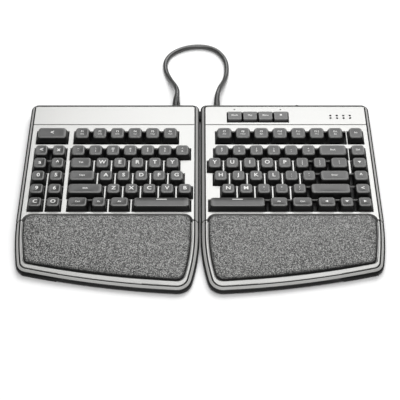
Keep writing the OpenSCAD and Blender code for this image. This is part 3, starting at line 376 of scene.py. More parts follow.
def button_top_abs(name, colours):
    # Grey button ABS: the key tops' plastic in a paler grey
    # Its edges get the same painted highlight
    return key_abs(name, colours.button_top, colours.key_edge_highlight)


def key_skirt_abs(name, colours):
    # Black key ABS: smooth sides that stay dark between the keys
    return moulded(name, colours.key_skirt, 0.6, 0.03, 0.28, 0.4)


def white_ink(name, colours):
    # Pad-printed ink: white, matt and a little uneven
    return moulded(name, colours.ink, 0.8, 0.005, 0.5, 0.7, 0.06)


def panel_ink(name, colours):
    # Screen-printed marks on the silver panel: dark grey and matt
    return moulded(name, colours.key_skirt, 0.5, 0.01, 0.5, 0.65)


def leatherette(name, colours):
    # Embossed PU leatherette over foam: black, with real pebble grain whose soft, pale tops are painted glints,
    # dark creases, and a rim in painted shade
    material, tree, shader, place = start_material(
        name, {"IOR": 1.48, "Sheen Weight": 0.1, "Sheen Roughness": 0.5})
    # Real grain of about 1 mm wouldn't show, so the pebbles are drawn at 1.5 mm
    pebbles = add_node(
        tree, "ShaderNodeTexVoronoi", {"feature": "DISTANCE_TO_EDGE"},
        {"Vector": place, "Scale": per(1.5), "Randomness": 1.0})
    lift = add_node(
        tree, "ShaderNodeMapRange", {"interpolation_type": "SMOOTHSTEP"},
        {"Value": pebbles, "From Min": 0.0, "From Max": 0.2})
    speck = add_node(
        tree, "ShaderNodeTexNoise", {},
        {"Vector": place, "Scale": per(1.5), "Detail": 2.0, "Roughness": 0.7})
    spots = add_node(
        tree, "ShaderNodeMapRange", {"interpolation_type": "SMOOTHSTEP"},
        {"Value": speck, "From Min": 0.36, "From Max": 0.6})
    tops = add_node(tree, "ShaderNodeMath", {"operation": "MULTIPLY"}, {0: lift, 1: spots})
    # Painted glints: the grain tops are mixed pale
    tone = add_node(
        tree, "ShaderNodeMix", {"data_type": "RGBA"}, {0: tops, 6: colours.pad_crease, 7: colours.pad_grain_glint}, 2)
    # Painted shade: the rim attribute darkens the pad's edge where it curves down into the frame
    rim = add_node(tree, "ShaderNodeAttribute", {"attribute_name": "rim"}, {}, "Fac")
    add_node(
        tree, "ShaderNodeMix", {"data_type": "RGBA"}, {0: rim, 6: tone, 7: shade(colours.pad_crease, 0.25)},
        2, shader["Base Color"])
    wear_and_highlight = add_node(tree, "ShaderNodeMapRange", {}, {"Value": speck, "To Min": 0.4, "To Max": 0.6})
    # The rim is stretched and stays matt; its near-black colour is painted shade
    add_node(
        tree, "ShaderNodeMath", {"operation": "MULTIPLY_ADD", "use_clamp": True}, {0: rim, 1: 0.6, 2: wear_and_highlight},
        0, shader["Roughness"])
    add_node(
        tree, "ShaderNodeBump", {}, {"Strength": 0.7, "Distance": 0.25 * MM, "Height": tops},
        0, shader["Normal"])
    return material


def cable_pvc(name, colours):
    # Extruded PVC jacket: satin, with faint drawing lines along it
    material, tree, shader, _ = start_material(name, {"IOR": 1.52, "Specular IOR Level": 0.85})
    along = add_node(tree, "ShaderNodeUVMap", {"uv_map": "along"}, {})
    lines = add_node(tree, "ShaderNodeMapping", {}, {"Vector": along, "Scale": (3.0, 26.0, 1.0)})
    streaks = add_node(tree, "ShaderNodeTexNoise", {}, {"Vector": lines, "Scale": 1.0, "Detail": 3.0})
    add_node(
        tree, "ShaderNodeMix", {"data_type": "RGBA"},
        {0: streaks, 6: shade(colours.cable, 0.75), 7: shade(colours.cable, 1.2)}, 2, shader["Base Color"])
    add_node(
        tree, "ShaderNodeMapRange", {}, {"Value": streaks, "To Min": 0.3, "To Max": 0.45},
        0, shader["Roughness"])
    add_node(
        tree, "ShaderNodeBump", {}, {"Strength": 0.2, "Distance": 0.05 * MM, "Height": streaks},
        0, shader["Normal"])
    return material


def clouded(name, values, size, detail, tones, rough):
    """Plain surface whose tone and roughness follow one cloud of a size in millimetres."""
    material, tree, shader, place = start_material(name, values)
    cloud = add_node(tree, "ShaderNodeTexNoise", {}, {"Vector": place, "Scale": per(size), "Detail": detail})
    add_node(
        tree, "ShaderNodeMix", {"data_type": "RGBA"}, {0: cloud, 6: tones[0], 7: tones[1]},
        2, shader["Base Color"])
    add_node(
        tree, "ShaderNodeMapRange", {}, {"Value": cloud, "To Min": rough[0], "To Max": rough[1]},
        0, shader["Roughness"])
    return material


def zinc_steel(name, colours):
    # Zinc-plated steel: bright, with fine turning marks
    tones = linear("#8c8f92"), linear("#c9ccce")
    return clouded(name, {"Metallic": 1.0}, 0.5, 4.0, tones, (0.25, 0.45))


def smoked_acrylic(name, colours):
    # Smoked acrylic with a frosted face: nearly black over an unlit light
    tones = linear("#040404"), linear("#121211")
    return clouded(name, {"IOR": 1.49, "Specular IOR Level": 0.05}, 1.2, 1.0, tones, (0.35, 0.5))


def silicone_rubber(name, colours):
    # Cast silicone: pale, waxy and a little uneven
    return moulded(name, linear("#d5d1c3"), 1.2, 0.04, 0.45, 0.6, 0.05)


def printed_tracks(name, tones, width, height, ior):
    """Board or film with tracks printed on it in a pattern of a width in millimetres."""
    material, tree, shader, place = start_material(name, {"IOR": ior})
    first, second, line = tones
    add_node(
        tree, "ShaderNodeTexBrick", {"offset": 0.37},
        {"Vector": place, "Scale": per(width), "Color1": linear(first), "Color2": linear(second),
         "Mortar": linear(line), "Mortar Size": 0.03, "Row Height": height}, 0, shader["Base Color"])
    cloud = add_node(tree, "ShaderNodeTexNoise", {}, {"Vector": place, "Scale": per(30), "Detail": 2.0})
    add_node(
        tree, "ShaderNodeMapRange", {}, {"Value": cloud, "To Min": 0.28, "To Max": 0.45}, 0, shader["Roughness"])
    return material


def printed_film(name, colours):
    # Polyester film: glossy, with printed silver tracks
    return printed_tracks(name, ("#b3bda8", "#a9b49e", "#e0e2dd"), 19, 0.25, 1.6)


def solder_mask(name, colours):
    # Fibreglass board under green solder mask, with tracks that show as paler lines
    return printed_tracks(name, ("#1f5a2f", "#225f33", "#3f8a50"), 5, 0.25, 1.55)


def studio_paper(name, colours):
    # Seamless paper: white and matt, with a trace of fibre
    tones = shade(colours.floor, 0.995), colours.floor
    return clouded(name, {"Specular IOR Level": 0.1}, 4, 4.0, tones, (0.9, 1.0))


FINISHES = {
    "silver_case": ("Silver painted ABS", silver_painted_abs),
    "palm_silver_shaded": ("Silver painted ABS, palm grade", palm_shaded_abs),
    # Painted shade on the covers' rounded edges
    "painted_edge_shade": ("Bare ABS edge", edge_shade_abs),
    "grey_band": ("Grey moulded ABS", grey_abs),
    "black_case": ("Black moulded ABS", black_abs),
    "key_plastic": ("Grey key ABS", key_top_abs),
    "key_skirt": ("Black key ABS", key_skirt_abs),
    "button_plastic": ("Grey button ABS", button_top_abs),
    "ink": ("White pad-printed ink", white_ink),
    "panel_ink": ("Dark screen-printed ink", panel_ink),
    "palm_leatherette": ("Grained PU leatherette", leatherette),
    "rubber": ("Black moulded rubber", black_rubber),
    "silicone": ("Cast silicone rubber", silicone_rubber),
    "contact_film": ("Printed polyester film", printed_film),
    "circuit_board": ("Fibreglass and solder mask", solder_mask),
    "steel": ("Zinc-plated steel", zinc_steel),
    "dark_lens": ("Smoked acrylic", smoked_acrylic),
    "cable_jacket": ("Grey PVC jacket", cable_pvc),
    "floor": ("White studio paper", studio_paper),
}


def finish_for(slot):
    """The material of a finish, made the first time that it is asked for."""
    name, build = FINISHES[slot]
    return bpy.data.materials.get(name) or build(name, bpy.context.scene.keyboard_colours)


def add_object(name, mesh):
    """New object at the origin."""
    piece = bpy.data.objects.new(name, mesh)
    bpy.context.scene.collection.objects.link(piece)
    return piece


def mesh_from(name, bm):
    """Mesh from a bmesh, with its faces turned outwards."""
    bmesh.ops.recalc_face_normals(bm, faces=bm.faces)
    mesh = bpy.data.meshes.new(name)
    bm.to_mesh(mesh)
    bm.free()
    return mesh


def smooth(mesh, degrees=35):
    """Smooth shading that keeps edges sharper than an angle."""
    mesh.polygons.foreach_set("use_smooth", [True] * len(mesh.polygons))
    mesh.set_sharp_from_angle(angle=math.radians(degrees))


def smooth_piece(name, mesh, degrees, finish):
    """New object with smooth shading and one finish."""
    smooth(mesh, degrees)
    mesh.materials.append(finish_for(finish))
    return add_object(name, mesh)


def dressed(name, bm, finish):
    """New object from a bmesh as it is, with one finish."""
    mesh = bpy.data.meshes.new(name)
    bm.to_mesh(mesh)
    bm.free()
    mesh.materials.clear()
    mesh.materials.append(finish_for(finish))
    return add_object(name, mesh)


def make_plain(piece):
    """Leaves a piece with the plain mesh that its modifiers make."""
    graph = bpy.context.evaluated_depsgraph_get()
    mesh = bpy.data.meshes.new_from_object(
        piece.evaluated_get(graph), preserve_all_data_layers=True, depsgraph=graph)
    piece.modifiers.clear()
    old = piece.data
    piece.data = mesh
    mesh.name = piece.name
    bpy.data.meshes.remove(old)


def settle(piece, body, slot, *nodes):
    """Puts a finished piece on its body, in place of CAD nodes; its slot is not used."""
    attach(piece, body)
    if nodes:
        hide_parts(*nodes)


def merged_bmesh(node):
    """Copy of a CAD node's mesh with its triangles joined."""
    bm = bmesh.new()
    bm.from_mesh(frame["nodes"][node].data)
    bmesh.ops.remove_doubles(bm, verts=bm.verts, dist=0.002 * MM)
    return bm


def solids(node):
    """Boxes of a CAD node's separate solids, from back to front and left to right."""
    bm = merged_bmesh(node)
    todo = set(bm.verts)
    boxes = []
    while todo:
        edge, group = [todo.pop()], []
        while edge:
            vert = edge.pop()
            group.append(vert.co.copy())
            near = [link.other_vert(vert) for link in vert.link_edges]
            fresh = [other for other in near if other in todo]
            todo.difference_update(fresh)
            edge.extend(fresh)
        low = Vector([min(co[axis] for co in group) for axis in range(3)])
        high = Vector([max(co[axis] for co in group) for axis in range(3)])
        boxes.append((low, high))
    bm.free()
    return sorted(boxes, key=lambda box: (-round(box[0].y, 4), box[0].x))


def middles(boxes):
    """Places on the floor under the middles of boxes."""
    return [Vector(((low.x + high.x) / 2, (low.y + high.y) / 2, 0)) for low, high in boxes]


def turned(name, profile, steps):
    """Mesh turned round Z from pairs of radius and height, closed by radii of zero or by its first pair."""
    bm = bmesh.new()
    rings = []
    for radius, height in profile:
        count = steps if radius else 1
        angles = [2 * math.pi * k / steps for k in range(count)]
        rings.append([
            bm.verts.new((radius * math.cos(a), radius * math.sin(a), height)) for a in angles])
    for low, high in zip(rings, rings[1:]):
        for k in range(steps):
            after = (k + 1) % steps
            quad = [low[k % len(low)], low[after % len(low)], high[after % len(high)], high[k % len(high)]]
            bm.faces.new(dict.fromkeys(quad))
    bmesh.ops.remove_doubles(bm, verts=bm.verts, dist=0.001 * MM)
    return mesh_from(name, bm)


def smooth_route(points, steps):
    """Points of a smooth curve through the given ones."""
    ends = [2 * points[0] - points[1], *points, 2 * points[-1] - points[-2]]
    route = []
    for a, b, c, d in zip(ends, ends[1:], ends[2:], ends[3:]):
        for k in range(steps):
            t = k / steps
            route.append(0.5 * (
                2 * b + (c - a) * t + (2 * a - 5 * b + 4 * c - d) * t ** 2
                + (3 * b - a - 3 * c + d) * t ** 3))
    return route + [points[-1]]


def tube(name, route, radii, sides, groove=0.0):
    """Closed tube along a route, with a UV map along it; a groove can run beside the middle of its top."""
    bm = bmesh.new()
    layer = bm.loops.layers.uv.new("along")
    rings, run = [], [0.0]
    for k, (place, (across, up)) in enumerate(zip(route, radii)):
        ahead = (route[min(k + 1, len(route) - 1)] - route[max(k - 1, 0)]).normalized()
        side = ahead.cross(Vector((0, 0, 1))).normalized()
        over = side.cross(ahead)
        ring = []
        for s in range(sides):
            a = 2 * math.pi * s / sides
            height = up * math.sin(a)
            if math.sin(a) > 0:
                height -= groove * math.exp(-((math.cos(a) - GROOVE_SIDE) / GROOVE_WIDTH) ** 2)
            ring.append(bm.verts.new(place + across * math.cos(a) * side + height * over))
        rings.append(ring)
        if k:
            run.append(run[-1] + (place - route[k - 1]).length)
    for k in range(len(rings) - 1):
        for s in range(sides):
            after = (s + 1) % sides
            face = bm.faces.new((rings[k][s], rings[k][after], rings[k + 1][after], rings[k + 1][s]))
            for loop, u, v in zip(face.loops, (k, k, k + 1, k + 1), (s, s + 1, s + 1, s)):
                loop[layer].uv = (run[u] / (10 * MM), v / sides)
    bm.faces.new(reversed(rings[0]))
    bm.faces.new(rings[-1])
    return mesh_from(name, bm), run[-1]


def repeat_tree():
    """Node tree that puts a piece on each point, stretches and tilts it and gives it its materials."""
    known = bpy.data.node_groups.get("Repeat on points")
    if known:
        return known
    tree = bpy.data.node_groups.new("Repeat on points", "GeometryNodeTree")
    tree.is_modifier = True
    for name, kind in (
            ("Geometry", "Geometry"), ("Piece", "Object"), ("Main finish", "Material"),
            ("Accent finish", "Material")):
        tree.interface.new_socket(name, in_out="INPUT", socket_type="NodeSocket" + kind)
    tree.interface.new_socket("Geometry", in_out="OUTPUT", socket_type="NodeSocketGeometry")
    add_node(tree, "NodeGroupInput", {}, {})
    given = tree.nodes[0].outputs
    named = {
        name: add_node(tree, "GeometryNodeInputNamedAttribute", {"data_type": kind}, {"Name": name})
        for name, kind in (
            ("grow", "FLOAT_VECTOR"), ("stretch", "FLOAT"), ("rise", "FLOAT_VECTOR"), ("tilt", "FLOAT"),
            ("accent", "BOOLEAN"))}
    piece = add_node(tree, "GeometryNodeObjectInfo", {}, {"Object": given["Piece"]}, "Geometry")
    placed = add_node(
        tree, "GeometryNodeInstanceOnPoints", {}, {"Points": given["Geometry"], "Instance": piece})
    real = add_node(tree, "GeometryNodeRealizeInstances", {}, {"Geometry": placed})
    tilted = add_node(
        tree, "ShaderNodeVectorMath", {"operation": "SCALE"}, {0: named["rise"], "Scale": named["tilt"]})
    offset = add_node(
        tree, "ShaderNodeVectorMath", {"operation": "MULTIPLY_ADD"},
        {0: named["grow"], 1: named["stretch"], 2: tilted})
    moved = add_node(tree, "GeometryNodeSetPosition", {}, {"Geometry": real, "Offset": offset})
    main = add_node(
        tree, "GeometryNodeSetMaterial", {}, {"Geometry": moved, "Material": given["Main finish"]})
    both = add_node(
        tree, "GeometryNodeSetMaterial", {},
        {"Geometry": main, "Selection": named["accent"], "Material": given["Accent finish"]})
    add_node(tree, "NodeGroupOutput", {}, {"Geometry": both})
    return tree


def repeated(name, mesh, places, main, accent=None, **shares):
    """Piece made of one mesh at each of several places, each with its own stretch or tilt."""
    points = bpy.data.meshes.new(name)
    points.from_pydata(places, [], [])
    for key, values in shares.items():
        points.attributes.new(key, "FLOAT", "POINT").data.foreach_set("value", values)
    pattern = bpy.data.objects.new(name + "_pattern", mesh)
    piece = add_object(name, points)
    modifier = piece.modifiers.new("Repeat", "NODES")
    tree = repeat_tree()
    values = {
        "Piece": pattern, "Main finish": finish_for(main), "Accent finish": finish_for(accent or main)}
    modifier.node_group = tree
    for item in tree.interface.items_tree:
        if item.in_out == "INPUT" and item.name in values:
            modifier[item.identifier] = values[item.name]
    make_plain(piece)
    bpy.data.objects.remove(pattern)
    return piece


def ring_points(x0, x1, y0, y1, radius, z, corner_steps=5, side_steps=4):
    """Points round a rectangle with round corners, as many for every size."""
    corners = [
        ((x1 - radius, y1 - radius), 0), ((x0 + radius, y1 - radius), 90),
        ((x0 + radius, y0 + radius), 180), ((x1 - radius, y0 + radius), 270)]
    points = []
    for (x, y), start in corners:
        for k in range(corner_steps + 1):
            a = math.radians(start + 90 * k / corner_steps)
            points.append(Vector((x + radius * math.cos(a), y + radius * math.sin(a), z)))
    ring = []
    for k, point in enumerate(points):
        ring.append(point)
        if k % (corner_steps + 1) == corner_steps:
            after = points[(k + 1) % len(points)]
            ring.extend(point.lerp(after, s / side_steps) for s in range(1, side_steps))
    return ring


class CapForm:
    """Form of a key: leaning sides, a round edge, a dished or crowned top, and a hollow and a stem below."""

    def __init__(self, width, depth, top, sizes, leans, dish, stem):
        self.half = width / 2
        self.front, self.back = -depth / 2, depth / 2
        self.skirt = CASE_TOP - sizes.skirt_drop
        self.top = top
        self.wall = sizes.cap_wall
        self.hollow = min(sizes.cap_hollow, top - self.skirt - 1.5 * self.wall)
        self.leans = leans
        self.dish = dish
        self.fillet = sizes.cap_fillet
        self.foot_corner = sizes.cap_base_corner
        self.least = 0.2 * MM
        self.corner = min(sizes.cap_corner, self.half - leans[0] - self.least)
        self.stem = stem

    def ring(self, share, inset, radius, z):
        """Ring of points where the sides have leant in by a share, and farther in by an inset."""
        side, back, front = self.leans
        reach = self.half - side * share - inset
        return ring_points(
            -reach, reach, self.front + front * share + inset, self.back - back * share - inset, radius, z)

    def reach(self):
        """Middle of the top from front to back, and half of its depth."""
        _, back, front = self.leans
        low, high = self.front + front, self.back - back
        return (low + high) / 2, (high - low) / 2

    def drop(self, x, y, stretch=0.0):
        """Depth of the hollow at a place on the top."""
        middle, half = self.reach()
        across = max(abs(x) - stretch / 2, 0) / (self.half - self.leans[0] - self.fillet)
        along = abs(y - middle) / (half - self.fillet)
        if self.dish < 0:
            return -self.dish * along ** 2
        return self.dish * max(0, 1 - across ** 2) * max(0, 1 - along ** 2)

    def rise(self, y):
        """Share of the tilt that a place on the top takes."""
        middle, half = self.reach()
        return (y - middle) / half

    def rings(self):
        """Rings from the hollow below round the skirt, over the edge and in to the middle of the top."""
        shoulder = self.top - self.fillet
        height, wall_height = self.top - self.skirt, shoulder - self.skirt
        side = [
            self.ring(self.hollow / height, self.wall, self.least, self.skirt + self.hollow),
            self.ring(0, self.wall, self.least, self.skirt),
            self.ring(0, 0, self.foot_corner, self.skirt),
        ]
        for share in (0.45, 1.0):
            radius = self.foot_corner + (self.corner - self.foot_corner) * share
            side.append(self.ring(share * wall_height / height, 0, radius, self.skirt + share * wall_height))
        edge, steps = [], 4
        for k in range(1, steps + 1):
            a = math.radians(90 * k / steps)
            inset = self.fillet * (1 - math.cos(a))
            swell = 0.15 * MM * (1 - k / steps)
            edge.append(self.ring(
                1.0, inset - swell, max(self.corner - inset, self.least), shoulder + self.fillet * math.sin(a)))
        centre = Vector((0, self.reach()[0], self.top))
        top = [[centre.lerp(point, share) for point in edge[-1]] for share in (0.84, 0.62, 0.38, 0.14)]
        return side, edge, top

    def mesh(self, name):
        """Mesh of the key, with what its stretch moves, its edge marked for a painted highlight and its top,
        painted paler as lit.
        """
        side, edge, top = self.rings()
        side_rings = len(side) - 1
        edge_rings = side_rings + len(edge)
        wall_height = self.top - self.fillet - self.skirt
        bm = bmesh.new()
        grow = bm.verts.layers.float_vector.new("grow")
        rise = bm.verts.layers.float_vector.new("rise")
        wear_and_highlight = bm.verts.layers.float.new("rim")
        accent = bm.faces.layers.bool.new("accent")
        made = []
        for k, ring in enumerate(side + edge + top):
            row = []
            for point in ring:
                low = self.drop(point.x, point.y) if k >= edge_rings or self.dish < 0 and k > side_rings else 0
                vert = bm.verts.new((point.x, point.y, point.z - low))
                way = 0 if abs(point.x) < 0.001 * MM else math.copysign(0.5, point.x)
                vert[grow] = (way, 0, 0)
                level = (point.z - self.skirt) / wall_height
                vert[rise] = (0, 0, min(level, 1.0) * self.rise(point.y))
                # Painted highlight: the round edge gets the paler edge colour
                vert[wear_and_highlight] = 0.9 if side_rings <= k < edge_rings else 0.3 if k == edge_rings else 0.0
                row.append(vert)
            made.append(row)
        count = len(made[0])
        for k, (low, high) in enumerate(zip(made, made[1:])):
            for s in range(count):
                after = (s + 1) % count
                face = bm.faces.new((low[s], low[after], high[after], high[s]))
                # Faces from the skirt's top up get the top finish, painted paler as lit
                face[accent] = k >= side_rings
        bm.faces.new(made[-1])[accent] = True
        bm.faces.new(reversed(made[0]))[accent] = False
        self.add_stem(bm)
        mesh = mesh_from(name, bm)
        smooth(mesh, 40)
        return mesh

    def add_stem(self, bm):
        """Square stem from inside the hollow's ceiling down to the dome."""
        half, low = self.stem
        high = self.skirt + self.hollow + 0.4 * MM
        for vert in bmesh.ops.create_cube(bm, size=1.0)["verts"]:
            vert.co = Vector((2 * half * vert.co.x, 2 * half * vert.co.y, low if vert.co.z < 0 else high))


def cells(node):
    """Centre, width and depth of each key of a node."""
    return [((low + high) / 2, high.x - low.x, high.y - low.y) for low, high in solids(node)]


def word_outline(text, height, bold):
    """Closed, thin mesh of a word or sign, centred on the origin and as high as asked."""
    depth = bpy.context.scene.keyboard_sizes.ink_depth
    if text in SIGNS:
        bm = bmesh.new()
        base = [bm.verts.new((x * height, y * height, -depth / 2)) for x, y in SIGNS[text]]
        face = bm.faces.new(base)
        grown = bmesh.ops.extrude_face_region(bm, geom=[face])["geom"]
        for vert in grown:
            if isinstance(vert, bmesh.types.BMVert):
                vert.co.z += depth
        return mesh_from(text, bm)
    curve = bpy.data.curves.new("word", "FONT")
    curve.body = text
    curve.size = height / 0.7
    curve.offset = bold * height
    curve.extrude = depth / 2
    curve.resolution_u = 3
    curve.align_x = "CENTER"
    holder = add_object("word", curve)
    graph = bpy.context.evaluated_depsgraph_get()
    mesh = bpy.data.meshes.new_from_object(holder.evaluated_get(graph))
    bpy.data.objects.remove(holder)
    bpy.data.curves.remove(curve)
    mesh.transform(Matrix.Translation((0, -height / 2, 0)))
    return mesh


def add_word(bm, text, height, bold, place, surface):
    """Lays a word on a surface, as a thin print."""
    mesh = word_outline(text, height, bold)
    first = len(bm.verts)
    bm.from_mesh(mesh)
    bpy.data.meshes.remove(mesh)
    bm.verts.ensure_lookup_table()
    for vert in bm.verts[first:]:
        x, y = place.x + vert.co.x, place.y + vert.co.y
        vert.co = Vector((x, y, surface(x, y) + vert.co.z))


def legend_words(legend, sizes):
    """Words of a legend, each with its height, boldness and distance behind the middle of the key's top."""
    if not legend:
        return []
    if isinstance(legend, tuple):
        upper, lower = legend
        high, gap = sizes.line_height, LINE_GAP * sizes.line_height
        low = high * (LONG_LINE_SHARE if len(lower) > 2 else 1)
        return [(upper, high, LINE_BOLD, gap), (lower, low, LINE_BOLD, -gap)]
    if legend == "bar":
        return [(legend, sizes.letter_height, 0, DASH_BACK)]
    if legend in SIGNS:
        return [(legend, SIGN_SHARE * sizes.letter_height, LETTER_BOLD, LETTER_BACK)]
    if len(legend) == 1:
        return [(legend, sizes.letter_height, LETTER_BOLD, LETTER_BACK)]
    return [(legend, sizes.word_height, WORD_BOLD, WORD_BACK)]


def print_legends(node, form, places, stretches, tilts):
    """Prints the legends of a node's keys on their tops, as one piece."""
    sizes = bpy.context.scene.keyboard_sizes
    bm = bmesh.new()
    for legend, centre, stretch, tilt in zip(LEGENDS[node], places, stretches, tilts):
        def surface(x, y, centre=centre, stretch=stretch, tilt=tilt):
            x, y = x - centre.x, y - centre.y
            return form.top - form.drop(x, y, stretch) + tilt * form.rise(y) + sizes.ink_depth
        middle = Vector((centre.x, centre.y + form.reach()[0], 0))
        for text, height, bold, behind in legend_words(legend, sizes):
            add_word(bm, text, height, bold, middle + Vector((0, behind, 0)), surface)
    if bm.verts:
        settle(dressed(node + "_legends", bm, "ink"), BODY[node], SLOT[node])
    else:
        bm.free()


def edge_weights(bm, widths, keep):
    """Marks the edges to be rounded: the outline's, wider towards its back, and the others."""
    back, outer, inner = (width / max(widths) for width in widths)
    layer = bm.edges.layers.float.new("bevel_weight_edge")
    sharp, smallest = math.radians(28), 0.6 * MM
    outline = 1.0 * MM
    # The seams between the covers lie in this stretch and stay crisp
    seams = FRONT + 15 * MM, BACK - 8 * MM
    for edge in bm.edges:
        if len(edge.link_faces) != 2 or not edge.is_convex or edge.calc_face_angle(0) < sharp:
            continue
        middle = (edge.verts[0].co + edge.verts[1].co) / 2
        if not keep(middle):
            continue
        flat = max(edge.link_faces, key=lambda face: abs(face.normal.z))
        wall = edge.link_faces[0] if edge.link_faces[1] == flat else edge.link_faces[1]
        way = Vector((wall.normal.x, wall.normal.y, 0))
        # The round would swallow small holes
        share = inner if edge.calc_length() > smallest else 0.0
        if way.length > 0.3:
            way.normalize()
            reach = max(vert.co.dot(way) for vert in bm.verts)
            seam = abs(way.y) > 0.8 and seams[0] < middle.y < seams[1]
            if middle.dot(way) > reach - outline and not seam:
                share = outer + (back - outer) * max(way.y, 0.0) ** 2
        edge[layer] = share


def refined(node, name, widths, keep=lambda place: True, segments=3, finish=None, edge=None):
    """Copy of a CAD node with rounded edges, in its place; the edges can have a finish of their own."""
    bm = merged_bmesh(node)
    bmesh.ops.dissolve_limit(
        bm, angle_limit=math.radians(0.5), verts=bm.verts, edges=bm.edges, delimit={"NORMAL"})
    bmesh.ops.triangulate(bm, faces=bm.faces)
    edge_weights(bm, widths, keep)
    piece = dressed(name, bm, finish or SLOT[node])
    bevel = piece.modifiers.new("Edges", "BEVEL")
    bevel.width = max(widths)
    bevel.segments = segments
    bevel.limit_method = "WEIGHT"
    bevel.use_clamp_overlap = False
    bevel.miter_outer = "MITER_ARC"
    if edge:
        piece.data.materials.append(finish_for(edge))
        bevel.material = 1
    make_plain(piece)
    smooth(piece.data)
    flat = piece.modifiers.new("Flat faces", "WEIGHTED_NORMAL")
    flat.keep_sharp = True
    make_plain(piece)
    settle(piece, BODY[node], SLOT[node], node)


class KEYBOARD_OT_stage(bpy.types.Operator):
    """Adds the camera, the pale floor and the soft studio light"""

    bl_idname = "keyboard.stage"
    bl_label = "Stage"

    def execute(self, context):
        scene = context.scene
        scene.view_settings.view_transform = "Standard"
        target = Vector((0, -23.9 * MM, 24 * MM))
        elevation = math.radians(48.2)
        distance = 1.2
        lens = bpy.data.cameras.new("camera")
        lens.lens = 102.3
        lens.sensor_width = 36.0
        camera = bpy.data.objects.new("camera", lens)
        back = Vector((0, -math.cos(elevation), math.sin(elevation)))
        camera.location = target + distance * back
        camera.rotation_euler = (-back).to_track_quat("-Z", "Y").to_euler()
        scene.collection.objects.link(camera)
        scene.camera = camera

        bm = bmesh.new()
        bmesh.ops.create_grid(bm, x_segments=8, y_segments=8, size=6.0)
        floor = add_object("floor", mesh_from("floor", bm))
        floor.data.materials.append(finish_for("floor"))

        world = bpy.data.worlds.new("studio")
        scene.world = world
        world.use_nodes = True
        sky = world.node_tree.nodes["Background"]
        sky.inputs["Color"].default_value = linear("#ffffff")
        sky.inputs["Strength"].default_value = 0.1
        for name, place, size, watts in (
                ("softbox back", (0.25, 0.95, 1.35), 1.5, 30.0),
                ("softbox front", (0.0, -0.7, 1.4), 0.9, 14.5)):
            light = bpy.data.lights.new(name, "AREA")
            light.size = size
            light.energy = watts
            lamp = bpy.data.objects.new(name, light)
            lamp.location = place
            lamp.rotation_euler = (target - lamp.location).to_track_quat("-Z", "Y").to_euler()
            scene.collection.objects.link(lamp)
        return {"FINISHED"}


class KEYBOARD_OT_cable(bpy.types.Operator):
    """Adds the link cable and its strain reliefs"""

    bl_idname = "keyboard.cable"
    bl_label = "Link cable"

    def execute(self, context):
        radius = context.scene.keyboard_sizes.cable_diameter / 2
        route = smooth_route([Vector(point) * MM for point in CABLE_ROUTE], ROUTE_STEPS)
        split = STRAND_START * ROUTE_STEPS
        left = self.boot("left_strain_relief", route, radius, 2.0 * MM, 1.3 * MM)
        right = self.boot("right_strain_relief", route[::-1], radius, 0.9 * MM, 0.0)
        loop = self.jacket("link_cable_loop", route[:split + 1], radius, left)
        settle(loop, BODY["link_cable"], SLOT["link_cable"], "link_cable")
        # The strand runs between the loop and the right boot
        strand = self.jacket("link_cable_strand", route[split:], radius, right)
        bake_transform(strand)
        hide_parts("link_cable")
        return {"FINISHED"}

    def jacket(self, name, route, radius, boot):
        """One stretch of the cable; the boot is not used."""
        mesh, run = tube(name, route, [(radius, radius)] * len(route), 20)
        piece = smooth_piece(name, mesh, 60, SLOT["link_cable"])
        return piece

    def boot(self, node, route, radius, flare, groove):
        """Rubber boot from inside the case wall along the cable to where it is free."""
        low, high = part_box(node)
        flange = (high.x - low.x) / 2
        sleeve, skin, rise = radius + 0.4 * MM, radius + 0.15 * MM, 0.6 * MM
        plate, step = 2 * MM, 0.1 * MM
        start, face = low.y, BACK + 0.3 * MM
        first = route[0]
        stations = [
            (start, flange, flange), (start + plate - step, flange, flange), (start + plate, sleeve, sleeve),
            (face - step, sleeve, sleeve), (face, radius + flare, radius + rise)]
        path = [Vector((first.x, y, first.z)) for y, _, _ in stations]
        radii = [(across, up) for _, across, up in stations]
        for place in route:
            if face + 1 * MM < place.y < high.y:
                left = (high.y - place.y) / (high.y - face)
                path.append(place)
                radii.append((skin + flare * left, skin + rise * left))
            elif place.y >= high.y:
                break
        mesh, _ = tube(node + "_boot", path, radii, 64, groove)
        piece = smooth_piece(node + "_boot", mesh, 40, SLOT[node])
        settle(piece, BODY[node], SLOT[node], node)
        return piece


